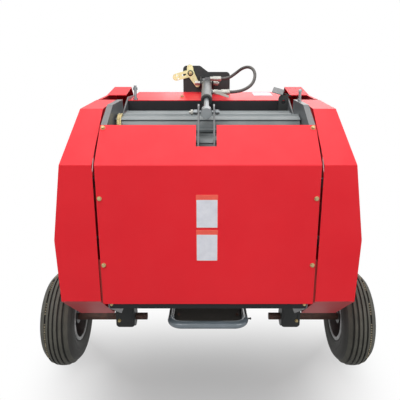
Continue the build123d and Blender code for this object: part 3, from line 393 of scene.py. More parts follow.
def spread(tree, given, points, single):
    """Sets one piece on every point, turned and made real, and gives it its finish."""
    nodes, links = tree.nodes, tree.links
    on_each = nodes.new("GeometryNodeInstanceOnPoints")
    links.new(points, on_each.inputs["Points"])
    links.new(single, on_each.inputs["Instance"])
    links.new(given.outputs["Turn"], on_each.inputs["Rotation"])
    real = nodes.new("GeometryNodeRealizeInstances")
    links.new(on_each.outputs[0], real.inputs[0])
    coloured = nodes.new("GeometryNodeSetMaterial")
    links.new(real.outputs[0], coloured.inputs["Geometry"])
    links.new(given.outputs["Finish"], coloured.inputs["Material"])
    result = nodes.new("NodeGroupOutput")
    links.new(coloured.outputs[0], result.inputs[0])
    return on_each


def hex_bolt_tree(name, end_rise, end_width, end_height):
    """A washer, a hexagon and a round end on every point; the end's sizes are shares of the hexagon's."""
    tree, nodes, links, given = open_tree(name, {"Across Flats": 0.0115, "Head Height": 0.006,
                                                 "Washer Radius": 0.0080, "Washer Thickness": 0.0016})
    flats, head_h = given.outputs["Across Flats"], given.outputs["Head Height"]
    washer_r, washer_t = given.outputs["Washer Radius"], given.outputs["Washer Thickness"]

    def worked(operation, one, other):
        step = nodes.new("ShaderNodeMath")
        step.operation = operation
        links.new(one, step.inputs[0])
        if isinstance(other, float):
            step.inputs[1].default_value = other
        else:
            links.new(other, step.inputs[1])
        return step.outputs[0]

    def disc(sides, radius, depth, middle):
        round_bar = nodes.new("GeometryNodeMeshCylinder")
        round_bar.inputs["Vertices"].default_value = sides
        links.new(radius, round_bar.inputs["Radius"])
        links.new(depth, round_bar.inputs["Depth"])
        up = nodes.new("ShaderNodeCombineXYZ")
        links.new(middle, up.inputs["Z"])
        shift = nodes.new("GeometryNodeTransform")
        links.new(round_bar.outputs["Mesh"], shift.inputs["Geometry"])
        links.new(up.outputs[0], shift.inputs["Translation"])
        return shift.outputs[0]

    to_corner = 0.577
    washer = disc(24, washer_r, washer_t, worked("MULTIPLY", washer_t, 0.5))
    head = disc(6, worked("MULTIPLY", flats, to_corner), head_h,
                worked("ADD", washer_t, worked("MULTIPLY", head_h, 0.5)))
    end = disc(20, worked("MULTIPLY", flats, end_width), worked("MULTIPLY", head_h, end_height),
               worked("ADD", washer_t, worked("MULTIPLY", head_h, end_rise)))
    bolt = nodes.new("GeometryNodeJoinGeometry")
    for piece in (washer, head, end):
        links.new(piece, bolt.inputs[0])
    spread(tree, given, given.outputs["Geometry"], bolt.outputs[0])
    return tree


hex_bolts = hex_bolt_tree("hex_bolts", end_rise=1.0, end_width=0.44, end_height=0.16)
hex_nuts = hex_bolt_tree("hex_nuts_on_studs", end_rise=1.25, end_width=0.30, end_height=0.7)


def grown(name, points, tree, settings, body, edges=()):
    """Runs a node tree on a set of points and edges and keeps the result as one plain mesh."""
    seeds = bpy.data.meshes.new(name + "_seeds")
    seeds.from_pydata(points, edges, [])
    seed_object = bpy.data.objects.new(name + "_seeds", seeds)
    scene.collection.objects.link(seed_object)
    modifier = seed_object.modifiers.new(tree.name, "NODES")
    modifier.node_group = tree
    for entry in tree.interface.items_tree:
        if entry.item_type == "SOCKET" and entry.in_out == "INPUT" and entry.name in settings:
            modifier[entry.identifier] = settings[entry.name]
    depsgraph = bpy.context.evaluated_depsgraph_get()
    mesh = bpy.data.meshes.new_from_object(seed_object.evaluated_get(depsgraph))
    seed_object.modifiers.clear()
    bpy.data.objects.remove(seed_object)
    mesh.name = name
    return fitted(name, mesh, body)


facing_back, facing_slope = (math.pi / 2, 0.0, 0.0), (math.pi / 4, 0.0, 0.0)
edge_x, upright_zs = 0.369, (0.960, 0.717)
slope_y, slope_z = 0.112, 1.187
upright_bolts = grown("panel_bolts_upright",
                      [(side * edge_x, rear, z) for side in (-1, 1) for z in upright_zs], hex_bolts,
                      {"Turn": facing_back, "Head Height": 0.0058, "Finish": zinc}, "tailgate")
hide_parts("panel_bolts")
grown("panel_bolts_slope", [(side * edge_x, rear + slope_y, slope_z) for side in (-1, 1)], hex_bolts,
      {"Turn": facing_slope, "Head Height": 0.0058, "Finish": zinc}, "tailgate")
stud_x, stud_y, stud_z = 0.351, rear + 0.007, 0.560
grown("beam_studs", [(side * stud_x, stud_y, stud_z) for side in (-1, 1)], hex_nuts,
      {"Turn": facing_back, "Head Height": 0.0042, "Across Flats": 0.008, "Washer Radius": 0.0055,
       "Finish": zinc}, "tailgate")
sheet_rise = math.atan2(0.031, 0.279)
sheet_bolt = (-0.1215, -0.046, 1.2811)
grown("top_sheet_bolt", [sheet_bolt], hex_bolts, {"Turn": (sheet_rise, 0.0, 0.0), "Finish": zinc}, "frame")
bracket_x, bracket_y, bracket_z = 0.430, -0.242, 0.229
grown("bracket_bolts", [(side * bracket_x, bracket_y, bracket_z) for side in (-1, 1)], hex_bolts,
      {"Turn": facing_back, "Finish": zinc}, "frame")

# Warning plates: two blank printed aluminium plates with a red head band, glued to the tailgate one
# above the other, and a bare pale one on the sheet over the front half.
plate_face = surface("warning_plate", (0.72, 0.73, 0.78), (0.62, 0.63, 0.69), 0.30, patch=30, grain=500,
                     grain_depth=0.03, dust_and_sheen=0.1, edge=0)
plate_band = surface("warning_plate_band", (0.85, 0.115, 0.075), (0.75, 0.09, 0.06), 0.30, patch=30,
                     grain=500, grain_depth=0.03, dust_and_sheen=0.1, edge=0)


def raised_plate(name, place, width, height, thickness, material, body, corner=0.003, inset=0.0006):
    """A flat plate on a face, with rounded corners and a bevelled rim; its own Z points off the face."""
    form = bmesh.new()
    ring = []
    corner_steps, lip_share = 4, 0.6
    for side_x, side_y, start in ((1, -1, -90), (1, 1, 0), (-1, 1, 90), (-1, -1, 180)):
        for step in range(corner_steps + 1):
            a = math.radians(start + 90 / corner_steps * step)
            ring.append((side_x * (width / 2 - corner) + corner * math.cos(a),
                         side_y * (height / 2 - corner) + corner * math.sin(a)))
    back = [form.verts.new((x, y, 0)) for x, y in ring]
    lip = [form.verts.new((x, y, thickness * lip_share)) for x, y in ring]
    face = [form.verts.new((x * (1 - 2 * inset / width), y * (1 - 2 * inset / height), thickness))
            for x, y in ring]
    form.faces.new(back[::-1])
    form.faces.new(face)
    for a, b in ((back, lip), (lip, face)):
        for i in range(len(ring)):
            j = (i + 1) % len(ring)
            form.faces.new((a[i], a[j], b[j], b[i]))
    bmesh.ops.transform(form, matrix=place, verts=form.verts)
    return fitted(name, plain_mesh(name, form, material), body)


upright = Matrix.Rotation(math.pi / 2, 4, "X")
plate_x, plate_w, plate_t = -0.0035, 0.075, 0.0010
band_h, margins, face_t = 0.0155, 0.0036, 0.0004
for name, z_low, z_high in (("upper", 0.855, 0.973), ("lower", 0.733, 0.848)):
    place = Matrix.Translation((plate_x, rear, (z_low + z_high) / 2)) @ upright
    raised_plate("warning_plate_" + name, place, plate_w, z_high - z_low, plate_t, plate_band, "tailgate")
    place = Matrix.Translation((plate_x, rear - plate_t, (z_low + z_high - band_h) / 2)) @ upright
    raised_plate("warning_plate_face_" + name, place, plate_w - margins, z_high - z_low - band_h - margins,
                 face_t, plate_face, "tailgate", corner=0.0015)
sheet_plate = surface("sheet_plate", (0.42, 0.44, 0.53), (0.36, 0.38, 0.46), 0.34, patch=30, grain=500,
                      grain_depth=0.03, dust_and_sheen=0.15, edge=0)
bare_w, bare_l, bare_t = 0.090, 0.120, 0.0006
on_sheet = Matrix.Translation((0.265, 0.062, 1.2933)) @ Matrix.Rotation(sheet_rise, 4, "X")
raised_plate("bare_plate_top", on_sheet, bare_w, bare_l, bare_t, sheet_plate, "frame")

# Seam strips: flat steel bars under red paint, screwed behind the lower end of the panel's two edges. They
# close the gap to the side covers there. Their red is much darker than the panel's: painted shade of the
# narrow gap, with field dirt on it.
# Dark red: painted shade of the gap beside the panel, with some field dirt.
seam_painted_shade = surface("seam_painted_shade", (0.42, 0.030, 0.028), (0.30, 0.024, 0.020), 0.55, patch=9, grain=300,
                     grain_depth=0.06, dust_and_sheen=0.3, dust_and_sheen_colour=(0.25, 0.12, 0.09))
strip_x, strip_back, strip_w, strip_t = 0.3828, 0.0083, 0.0175, 0.0015
strip_low, strip_high = 0.567, 0.735
for name, side in (("left", 1), ("right", -1)):
    place = Matrix.Translation((side * strip_x, rear + strip_back, (strip_low + strip_high) / 2)) @ upright
    raised_plate("seam_strip_" + name, place, strip_w, strip_high - strip_low, strip_t, seam_painted_shade,
                 "tailgate", corner=0.001)

# Side plates of the chamber and the tailgate, their crossbeams and the ears of the cylinder: folded and
# welded steel plate under grey paint, the frame beams under dark paint. The top crossbeam and the tailgate's
# bottom beam are darker still: dark paint with painted shade.
grey_paint = surface("grey_paint", (0.104, 0.112, 0.122), (0.076, 0.084, 0.093), 0.42, patch=7, grain=380,
                     grain_depth=0.06, coat=0.1, dust_and_sheen=0.25)
dark_paint = surface("dark_paint", (0.022, 0.026, 0.028), (0.012, 0.015, 0.016), 0.48, patch=6, grain=300,
                     grain_depth=0.07, gloss=0.3, dust_and_sheen=0.14)
give(grey_paint, "chamber_plate_left", "chamber_plate_right", "tailgate_plate_left", "tailgate_plate_right",
     "tailgate_top_beam", "cylinder_ears")
# A darker copy of the dark paint: painted shade on the two beams that face back into shadow.
beam_paint_and_shade = surface("beam_paint_and_shade", (0.013, 0.013, 0.016), (0.008, 0.008, 0.010), 0.5, patch=6, grain=300,
                     grain_depth=0.07, gloss=0.2, dust_and_sheen=0.05)
give(beam_paint_and_shade, "top_crossbeam", "tailgate_bottom_beam")
give(dark_paint, "lower_crossbeam", "front_crossbeam", "mast", "axle_bracket_left", "axle_bracket_right",
     "hitch_beam", "parking_leg_left", "parking_leg_right", "pickup_frame", "stripper_bands",
     "cross_shaft_tube")

# Weld beads: laid by hand in overlapping drops where the ears stand on the beam, along the lugs of the mast,
# on the hitch and along the stays of the axle brackets.
def weld_tree(name):
    """Overlapping drops laid along every edge of the mesh."""
    tree, nodes, links, given = open_tree(name, {"Drop Radius": 0.003, "Drop Spacing": 0.0034})
    run = nodes.new("GeometryNodeMeshToCurve")
    links.new(given.outputs["Geometry"], run.inputs["Mesh"])
    stops = nodes.new("GeometryNodeCurveToPoints")
    stops.mode = "LENGTH"
    links.new(run.outputs[0], stops.inputs["Curve"])
    links.new(given.outputs["Drop Spacing"], stops.inputs["Length"])
    drop = nodes.new("GeometryNodeMeshIcoSphere")
    drop.inputs["Subdivisions"].default_value = 1
    links.new(given.outputs["Drop Radius"], drop.inputs["Radius"])
    uneven = nodes.new("FunctionNodeRandomValue")
    uneven.inputs[2].default_value = 0.85
    uneven.inputs[3].default_value = 1.15
    uneven.inputs["Seed"].default_value = 7
    laid = spread(tree, given, stops.outputs["Points"], drop.outputs["Mesh"])
    links.new(uneven.outputs[1], laid.inputs["Scale"])
    return tree


weld_drops = weld_tree("weld_beads")
weld_steel = surface("weld_bead", (0.030, 0.033, 0.035), (0.015, 0.017, 0.018), 0.55, patch=60, grain=500,
                     grain_depth=0.2, edge=0)


def weld(name, runs, body, finish=weld_steel, radius=0.003, spacing=0.0034):
    """One bead on each straight run between two points."""
    points = [point for run in runs for point in run]
    edges = [(2 * i, 2 * i + 1) for i in range(len(runs))]
    return grown(name, points, weld_drops,
                 {"Finish": finish, "Drop Radius": radius, "Drop Spacing": spacing}, body, edges)


ear_low, ear_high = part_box("cylinder_ears")
beam_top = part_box("tailgate_top_beam")[1][2]
ear_t, bead_from, bead_to = 0.006, 0.002, 0.040
weld("weld_ears", [((x, ear_low[1] + bead_from, beam_top), (x, ear_low[1] + bead_to, beam_top))
                   for x in (ear_low[0], ear_low[0] + ear_t, ear_high[0] - ear_t, ear_high[0])],
     "tailgate")
mast_face, lug_low, lug_high = 0.142, 1.314, 1.376
weld("weld_mast_lugs", [((x, mast_face, lug_low), (x, mast_face, lug_high))
                        for x in (-0.039, -0.031, 0.019, 0.027)], "frame")
stay_low, stay_high = 0.215, 0.405
weld("weld_axle_brackets", [((side * x, bracket_y, stay_low), (side * x, bracket_y, stay_high))
                            for side in (-1, 1) for x in (0.366, 0.436)], "frame")
hitch_face, socket_low, socket_high = 0.365, 0.522, 0.598
weld("weld_hitch", [((side * x, hitch_face, socket_low), (side * x, hitch_face, socket_high))
                    for side in (-1, 1) for x in (0.270, 0.330)], "frame")

# Ribbed rollers of the bale chamber: steel tube with six flat bars welded along it, carried by a spider at
# each end. A zinc plated locating ring sits at the left end of the uppermost one.
roller_paint = surface("roller_paint", (0.225, 0.250, 0.260), (0.165, 0.188, 0.196), 0.36, patch=9, grain=300,
                       grain_depth=0.08, dust_and_sheen=0.22)
give(roller_paint, "hinge_roller", "front_rollers", "tailgate_rollers")
ring_x, top_roller_y, top_roller_z = -0.349, rear + 0.2923, 1.1796
grooved_ring = [(0.0, 0.037), (0.0, 0.0470), (0.0012, 0.0482), (0.0052, 0.0482), (0.0066, 0.0468),
                (0.0104, 0.0468), (0.0118, 0.0482), (0.0158, 0.0482), (0.017, 0.0470), (0.017, 0.037)]
turned("locating_ring", grooved_ring, Matrix.Translation((ring_x, top_roller_y, top_roller_z)), 72, zinc,
       "tailgate")

# Tailgate cylinder: honed steel tube with a welded base eye under grey paint, a dark gland nut screwed into
# its end, and a hard chromed rod. Its two pins are bolts with zinc plated nuts, and the rod's one ends in a
# bare thread.
barrel_paint = surface("barrel_paint", (0.098, 0.107, 0.112), (0.072, 0.079, 0.084), 0.42, patch=12,
                       grain=420, grain_depth=0.05, coat=0.05, dust_and_sheen=0.2)
give(barrel_paint, "cylinder_barrel")
plated_rod = surface("plated_rod", (0.28, 0.30, 0.31), (0.20, 0.22, 0.23), 0.34, patch=14, grain=500,
                     grain_depth=0.05, metal=0.7)
give(plated_rod, "cylinder_rod")
pin_x, rod_pin_y, rod_pin_z = -0.006, rear + 0.178, 1.238
base_pin_y, base_pin_z = rear + 0.790, 1.345
rod_eye = Vector((pin_x, rod_pin_y, rod_pin_z))
along = (Vector((pin_x, base_pin_y, base_pin_z)) - rod_eye).normalized()
gland_start = 0.215
gland = [(-0.0035, 0.0115), (-0.0035, 0.0195), (-0.0015, 0.0215), (0.0, 0.0232), (0.011, 0.0236),
         (0.0125, 0.0232), (0.0125, 0.0222), (0.0, 0.0115)]
turned("gland_nut", gland,
       Matrix.Translation(rod_eye + along * gland_start) @ along.to_track_quat("X", "Z").to_matrix().to_4x4(),
       56, dark_paint, "cylinder_barrel")
give(white_zinc, "cylinder_base_pin")
base_nut_x, rod_nut_x = 0.0375, -0.0540
grown("base_pin_nut", [(base_nut_x, base_pin_y, base_pin_z)], hex_nuts,
      {"Turn": (0.0, math.pi / 2, 0.0), "Across Flats": 0.019, "Head Height": 0.010,
       "Washer Radius": 0.0135, "Finish": white_zinc}, "frame")
thread_end = [(0.0, 0.0), (0.0, 0.0052), (-0.0135, 0.0052), (-0.0150, 0.0040), (-0.0150, 0.0)]
turned("cross_bolt_thread", thread_end, Matrix.Translation((rod_nut_x, rod_pin_y, rod_pin_z)), 24, white_zinc,
       "cylinder_rod")
grown("cross_bolt_nut", [(rod_nut_x, rod_pin_y, rod_pin_z)], hex_nuts,
      {"Turn": (0.0, -math.pi / 2, 0.0), "Across Flats": 0.017, "Head Height": 0.007,
       "Washer Radius": 0.0105, "Finish": white_zinc}, "cylinder_rod")

# Gate lock: posts turned from bright bar, a hook plate under dark paint, and a bent tongue of dull zinc
# plated plate that stands up beside the hook.
give(plated_rod, "gate_post", "lock_post")
give(dark_paint, "lock_hook")
lock_zinc = surface("lock_zinc", (0.20, 0.205, 0.21), (0.14, 0.145, 0.15), 0.45, patch=26, grain=420,
                    grain_depth=0.1, metal=0.3, dust_and_sheen=0.1)
tongue_w, tongue_l, tongue_t = 0.048, 0.030, 0.003
tongue_lean, tongue_turn = math.radians(52), math.radians(-20)
tongue_place = (Matrix.Translation((0.304, -0.1890, 1.3085)) @ Matrix.Rotation(tongue_lean, 4, "X")
                @ Matrix.Rotation(tongue_turn, 4, "Z"))
raised_plate("lock_tongue", tongue_place, tongue_w, tongue_l, tongue_t, lock_zinc, "frame", corner=0.004)

# Latch lever: cut from plate and yellow zinc plated. A bolt holds it to the mast over a dark washer, with its
# nut towards the rear.
lever_zinc = surface("lever_zinc", (0.80, 0.77, 0.42), (0.62, 0.60, 0.32), 0.36, patch=26, grain=420,
                     grain_depth=0.1, metal=0.35, dust_and_sheen=0.1, dust_and_sheen_colour=(0.45, 0.38, 0.25))
give(lever_zinc, "latch_lever")
pivot_x, pivot_y, pivot_z = -0.088, mast_face - 0.011, 1.394
lever_washer_t = 0.0026
lever_washer = [(0.0, 0.004), (0.0, 0.0125), (0.0008, 0.0140), (0.0020, 0.0140), (lever_washer_t, 0.0130),
                (lever_washer_t, 0.004)]
turned("lever_washer", lever_washer,
       Matrix.Translation((pivot_x, pivot_y, pivot_z)) @ Matrix.Rotation(-math.pi / 2, 4, "Z"), 40,
       dark_paint, "frame")
grown("lever_nut", [(pivot_x, pivot_y - lever_washer_t, pivot_z)], hex_nuts,
      {"Turn": facing_back, "Across Flats": 0.016, "Head Height": 0.008, "Washer Radius": 0.0095,
       "Finish": zinc}, "frame")

# Bale ramp: bent pipe with a sheet between its legs under glossy blue grey paint, its colour turning nearly
# black on the legs towards the front. A black rubber mat lies on the sheet, held by two rusty bolts, and a
# pin sticks out of the right leg.
ramp_paint = surface("ramp_paint", (0.190, 0.235, 0.270), (0.142, 0.182, 0.212), 0.20, patch=9, grain=350,
                     grain_depth=0.04, coat=0.6, dust_and_sheen=0.08)
nodes, links = ramp_paint.node_tree.nodes, ramp_paint.node_tree.links
skin = nodes["Principled BSDF"]
on_pipe = nodes.new("ShaderNodeTexCoord")
forward = nodes.new("ShaderNodeSeparateXYZ")
links.new(on_pipe.outputs["Object"], forward.inputs[0])
# The ramp's colour turns nearly black from here forwards along its legs.
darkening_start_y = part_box("bale_ramp")[0][1] + 0.045
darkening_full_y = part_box("bale_ramp")[0][1] + 0.080
darker_forward = nodes.new("ShaderNodeMapRange")
darker_forward.inputs["From Min"].default_value = darkening_start_y
darker_forward.inputs["From Max"].default_value = darkening_full_y
links.new(forward.outputs["Y"], darker_forward.inputs["Value"])
darkened_colour = nodes.new("ShaderNodeMix")
darkened_colour.data_type = "RGBA"
links.new(darker_forward.outputs[0], darkened_colour.inputs[0])
links.new(skin.inputs["Base Color"].links[0].from_socket, darkened_colour.inputs[6])
darkened_colour.inputs[7].default_value = (0.020, 0.019, 0.017, 1)
links.new(darkened_colour.outputs[2], skin.inputs["Base Color"])
give(ramp_paint, "bale_ramp")
sheet_back_y, sheet_back_z = rear + 0.150, 0.393
sheet_front_y, sheet_front_z = rear + 0.545, 0.370
ramp_slope = math.atan2(sheet_front_z - sheet_back_z, sheet_front_y - sheet_back_y)


def on_ramp(x, y, lift=0.0):
    """A place on the top of the ramp's sheet."""
    return x, y, sheet_back_z + (y - sheet_back_y) * math.tan(ramp_slope) + lift


mat_rubber = surface("mat_rubber", (0.062, 0.056, 0.049), (0.042, 0.037, 0.033), 0.75, patch=12, grain=300,
                     grain_depth=0.3, gloss=0.2, dust_and_sheen=0.06)
mat_y, mat_w, mat_l, mat_t = rear + 0.350, 0.273, 0.362, 0.0018
raised_plate("ramp_mat", Matrix.Translation(on_ramp(0, mat_y)) @ Matrix.Rotation(ramp_slope, 4, "X"), mat_w,
             mat_l, mat_t, mat_rubber, "frame", corner=0.012)
rust = surface("rusty_steel", (0.105, 0.048, 0.034), (0.038, 0.022, 0.019), 0.72, patch=38, grain=260,
               grain_depth=0.5, metal=0.25, dust_and_sheen=0.1)
mat_bolt_x, mat_bolt_y = 0.124, rear + 0.232
grown("ramp_bolts", [on_ramp(side * mat_bolt_x, mat_bolt_y, mat_t) for side in (-1, 1)], hex_bolts,
      {"Turn": (ramp_slope, 0.0, 0.0), "Across Flats": 0.010, "Washer Radius": 0.008, "Finish": rust},
      "frame")
pin_place = (0.158, rear + 0.204, 0.388)
headed_pin = [(0.0, 0.0), (0.0, 0.0035), (0.017, 0.0035), (0.018, 0.0045), (0.022, 0.0045), (0.023, 0.003),
              (0.023, 0.0)]
turned("ramp_pin", headed_pin, Matrix.Translation(pin_place), 20, dark_paint, "frame")

# Stub axles: solid round bar, clamped in the brackets and rusty where it is bare between its clamp and
# the hub.
give(rust, "stub_axle_left", "stub_axle_right")

# Pickup reel: spring steel tines coiled on four cross bars between end discs, dark paint worn by the crop.
# The stripper bands between the tines are pressed sheet.
tine_steel = surface("reel_steel", (0.060, 0.060, 0.058), (0.028, 0.028, 0.028), 0.42, patch=30, grain=300,
                     grain_depth=0.12, metal=0.4, dust_and_sheen=0.3)
give(tine_steel, "pickup_reel")


def coil_tree(name):
    """A wire coil wound along X on every point of the mesh."""
    tree, nodes, links, given = open_tree(name, {"Coil Radius": 0.0136, "Wire Radius": 0.0025, "Turns": 3.0,
                                                 "Width": 0.015})
    wire = nodes.new("GeometryNodeCurveSpiral")
    wire.inputs["Resolution"].default_value = 14
    for entry, size_name in (("Rotations", "Turns"), ("Start Radius", "Coil Radius"),
                             ("End Radius", "Coil Radius"), ("Height", "Width")):
        links.new(given.outputs[size_name], wire.inputs[entry])
    round_wire = nodes.new("GeometryNodeCurvePrimitiveCircle")
    round_wire.inputs["Resolution"].default_value = 8
    links.new(given.outputs["Wire Radius"], round_wire.inputs["Radius"])
    wound = nodes.new("GeometryNodeCurveToMesh")
    links.new(wire.outputs[0], wound.inputs["Curve"])
    links.new(round_wire.outputs[0], wound.inputs["Profile Curve"])
    wound.inputs["Fill Caps"].default_value = True
    smooth = nodes.new("GeometryNodeSetShadeSmooth")
    links.new(wound.outputs[0], smooth.inputs[0])
    across = nodes.new("GeometryNodeTransform")
    across.inputs["Rotation"].default_value = (0, math.pi / 2, 0)
    links.new(smooth.outputs[0], across.inputs["Geometry"])
    spread(tree, given, given.outputs["Geometry"], across.outputs[0])
    return tree


reel_y, reel_z, tine_bar_r, tine_bars = 0.165, 0.335, 0.078, 4
tine_rows, tine_pitch, coil_shift = 12, 0.070, 0.004
coil_xs = [(i - (tine_rows - 1) / 2) * tine_pitch + coil_shift for i in range(tine_rows)]
bar_angles = [2 * math.pi * k / tine_bars for k in range(tine_bars)]
coil_points = [(x, reel_y + tine_bar_r * math.cos(a), reel_z + tine_bar_r * math.sin(a))
               for x in coil_xs for a in bar_angles]
grown("tine_coils", coil_points, coil_tree("tine_coils"), {"Finish": tine_steel}, "pickup_reel")

# Gearbox and drive: rough sand cast housing under dark paint with a bolted cover, a turned steel input shaft
# and a black plastic shield over it.
casting = surface("cast_housing", (0.06, 0.064, 0.066), (0.035, 0.038, 0.04), 0.6, patch=14, grain=150,
                  grain_depth=0.6, dust_and_sheen=0.3)
give(casting, "gearbox")
bright_steel = surface("bright_steel", (0.50, 0.50, 0.49), (0.36, 0.36, 0.36), 0.28, patch=20, grain=500,
                       grain_depth=0.08, metal=1, stretch=(1, 8, 1))
give(bright_steel, "input_shaft")
plastic = surface("black_plastic", (0.02, 0.02, 0.021), (0.012, 0.012, 0.012), 0.5, patch=10, grain=600,
                  grain_depth=0.15, dust_and_sheen=0.3)
give(plastic, "input_shaft_shield")
cover_bolt_x, cover_bolt_ys, cover_top = 0.044, (0.266, 0.315, 0.364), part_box("gearbox")[1][2]
grown("gearbox_cover_bolts", [(side * cover_bolt_x, y, cover_top) for side in (-1, 1) for y in cover_bolt_ys],
      hex_bolts, {"Across Flats": 0.010, "Washer Radius": 0.0075, "Head Height": 0.005, "Finish": zinc},
      "frame")

# Twine box: red sheet box for the balls of net or twine, its lid hinged along the front edge, with a bent
# round bar as its handle.
give(red_paint, "twine_box", "twine_box_lid")
lid_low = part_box("twine_box_lid")[0]
grip_x, grip_y, grip_z = 0.062, lid_low[1] + 0.0012, lid_low[2] + 0.010
grip_out, grip_bend, grip_r, straight_share = 0.024, 0.004, 0.004, 0.6
right_half = [(grip_x, grip_y, grip_z), (grip_x, grip_y - grip_out * straight_share, grip_z),
              (grip_x - grip_bend, grip_y - grip_out, grip_z)]
left_half = [(-x, y, z) for x, y, z in right_half]
handle = bent_round("lid_handle", left_half + [(0, grip_y - grip_out, grip_z)] + right_half[::-1], grip_r,
                    10, 4, zinc)
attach(handle, "twine_box_lid")

# Wheels: dished steel rims under black paint on cast hubs, held by five nuts, with a pressed hub cap and a
# rubber valve.
rim_paint = surface("rim_paint", (0.042, 0.046, 0.046), (0.024, 0.027, 0.027), 0.42, patch=12, grain=300,
                    grain_depth=0.08, dust_and_sheen=0.1)
give(rim_paint, "wheel_rim_left", "wheel_rim_right")
tyre_low, tyre_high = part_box("tyre_right")
tyre_x, axle_y = (tyre_low[0] + tyre_high[0]) / 2, (tyre_low[1] + tyre_high[1]) / 2
tyre_r, tyre_half = tyre_high[2] / 2, (tyre_high[0] - tyre_low[0]) / 2
hub_cap = [(0.0, 0.018), (0.0, 0.030), (0.004, 0.0305), (0.0055, 0.0275), (0.011, 0.0262), (0.0165, 0.022),
           (0.0185, 0.014), (0.019, 0.004), (0.019, 0.0), (0.0172, 0.0), (0.0165, 0.012), (0.0145, 0.018)]
valve = [(0.0, 0.0), (0.0, 0.0065), (0.003, 0.006), (0.0045, 0.0045), (0.016, 0.0042), (0.017, 0.0048),
         (0.024, 0.0048), (0.0252, 0.0036), (0.0255, 0.0)]
nut_circle, nut_x, wheel_nuts = 0.062, tyre_x + 0.0106, 5
valve_circle, valve_x, cap_x = 0.083, tyre_x + 0.0125, tyre_x + 0.048


def outwards(end):
    """Turns a section that runs to the right about, for the left end of an axle."""
    return Matrix.Identity(4) if end > 0 else Matrix.Rotation(math.pi, 4, "Z")


for side, sign in (("left", -1), ("right", 1)):
    nut_angles = [math.pi / 2 + 2 * math.pi * k / wheel_nuts for k in range(wheel_nuts)]
    grown("wheel_nuts_" + side,
          [(sign * nut_x, axle_y + nut_circle * math.cos(a), tyre_r + nut_circle * math.sin(a))
           for a in nut_angles], hex_nuts,
          {"Turn": (0.0, sign * math.pi / 2, 0.0), "Across Flats": 0.019, "Head Height": 0.011,
           "Washer Radius": 0.0125, "Finish": zinc}, "wheel_" + side)
    turned("hub_cap_" + side, hub_cap, Matrix.Translation((sign * cap_x, axle_y, tyre_r)) @ outwards(sign),
           48, rim_paint, "wheel_" + side)
    turned("valve_" + side, valve,
           Matrix.Translation((sign * valve_x, axle_y + valve_circle, tyre_r)) @ outwards(sign), 16, plastic,
           "wheel_" + side)

# Tyres: black rubber implement tyres with six straight tread ribs, dusty and round shouldered, held between
# the rolled flanges of the rim, where the paint is worn off; the light grey of these bare lips is partly a
# painted highlight line. Dried mud sticks in their outermost groove.
tyre_rubber = surface("tyre_rubber", (0.034, 0.034, 0.031), (0.018, 0.018, 0.017), 0.66, patch=16, grain=240,
                      grain_depth=0.35, dust_and_sheen=0.2, dust_and_sheen_colour=(0.15, 0.145, 0.115))
worn_tread = surface("worn_tread", (0.088, 0.086, 0.071), (0.046, 0.046, 0.038), 0.74, patch=16, grain=240,
                     grain_depth=0.35, dust_and_sheen=0.35, dust_and_sheen_colour=(0.17, 0.165, 0.13))
# Bare steel on the rim's lips: worn steel, its light grey partly a painted highlight.
rim_lip_and_highlight = surface("worn_rim_lip_and_highlight", (0.42, 0.43, 0.43), (0.12, 0.125, 0.125), 0.38, patch=30, grain=300,
                   grain_depth=0.1, metal=0.5, dust_and_sheen=0.2)
mud = surface("dried_mud", (0.48, 0.42, 0.30), (0.26, 0.22, 0.15), 0.85, patch=60, grain=600, grain_depth=0.4,
              gloss=0.2, edge=0)
seat_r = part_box("wheel_rim_right")[1][2] - tyre_r
tread_share = 0.80
tread_half = tread_share * tyre_half
ribs, groove_w, groove_d, groove_lip = 6, 0.0070, 0.0095, 0.001
rib_pitch = 2 * tread_half / ribs
crown_drop, crown_power = 0.025, 2.2
bead = 0.80


def crown(x):
    """Radius of the tread at a distance from the middle of the tyre."""
    return tyre_r - crown_drop * abs(x / tread_half) ** crown_power


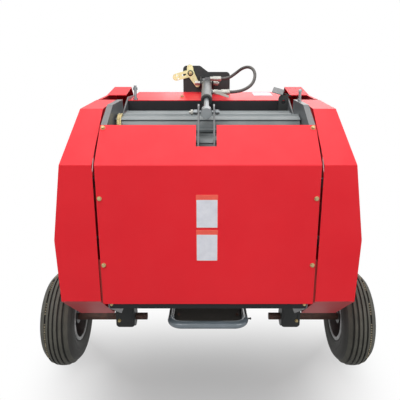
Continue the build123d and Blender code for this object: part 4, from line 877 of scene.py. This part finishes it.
def tyre_section():
    """Half round tread with grooves, walls that bulge, beads on the rim: (across, radius) pairs."""
    tread = [(-tread_half, crown(-tread_half))]
    for k in range(1, ribs):
        x = -tread_half + k * rib_pitch
        edge, floor_edge, shoulder = groove_w / 2, groove_w / 3, rib_pitch * 0.25
        tread += [(x - shoulder, crown(x - shoulder)), (x - edge - groove_lip, crown(x)),
                  (x - edge, crown(x) - groove_lip), (x - floor_edge, crown(x) - groove_d),
                  (x + floor_edge, crown(x) - groove_d), (x + edge, crown(x) - groove_lip),
                  (x + edge + groove_lip, crown(x)), (x + shoulder, crown(x + shoulder))]
    tread.append((tread_half, crown(tread_half)))
    wall = [(0.85, 0.873), (0.90, 0.855), (0.93, 0.843), (0.955, 0.825), (0.973, 0.804), (0.987, 0.78),
            (0.996, 0.757), (1.0, 0.735), (0.995, 0.69), (0.975, 0.685), (0.97, 0.672), (0.985, 0.665),
            (0.97, 0.62), (0.93, 0.565), (0.87, 0.53), (0.83, 0.515), (bead, 0.50), (bead, seat_r / tyre_r)]
    right = [(x * tyre_half, r * tyre_r) for x, r in wall]
    left = [(-x, r) for x, r in right]
    return left[::-1] + tread + right


flange_x = bead * tyre_half + 0.0012
rim_flange = [(0.0, seat_r - 0.010), (0.0, seat_r + 0.004), (0.0012, seat_r + 0.0065),
              (0.0036, seat_r + 0.0065), (0.0048, seat_r + 0.004), (0.0048, seat_r - 0.010)]
worn_depth = 0.0015
muddy_x = tread_half - rib_pitch
muddy_r, mud_step = crown(muddy_x) - 0.0012, 6
mud_arcs = ((-20, 16), (28, 40), (50, 98), (106, 118), (136, 148), (160, 208), (224, 236), (250, 292),
            (304, 316))
for side, sign in (("left", -1), ("right", 1)):
    for face, end in (("outer", sign), ("inner", -sign)):
        turned("rim_flange_" + face + "_" + side, rim_flange,
               Matrix.Translation((sign * tyre_x + end * flange_x, axle_y, tyre_r)) @ outwards(end), 96,
               rim_lip_and_highlight, "wheel_" + side)
    tyre = turned("ribbed_tyre_" + side, tyre_section(),
                  Matrix.Translation((sign * tyre_x, axle_y, tyre_r)), 120, tyre_rubber, "wheel_" + side)
    tyre.data.materials.append(worn_tread)
    for face in tyre.data.polygons:
        across = face.center.x - sign * tyre_x
        radius = math.hypot(face.center.y - axle_y, face.center.z - tyre_r)
        if abs(across) < tread_half and radius > crown(across) - worn_depth:
            face.material_index = 1
    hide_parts("tyre_" + side)
    runs = []
    for start, stop in mud_arcs:
        angles = [math.radians(start + mud_step * k) for k in range((stop - start) // mud_step + 1)]
        places = [(sign * (tyre_x + muddy_x), axle_y + muddy_r * math.cos(a), tyre_r + muddy_r * math.sin(a))
                  for a in angles]
        runs += list(zip(places, places[1:]))
    weld("mud_in_groove_" + side, runs, "wheel_" + side, mud, radius=0.0034, spacing=0.0095)

# Outer sizes of the bare model and of the dressed one, kept beside each other
size = {"cad": [list(c) for c in cad_box], "visual": [list(c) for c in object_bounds()]}
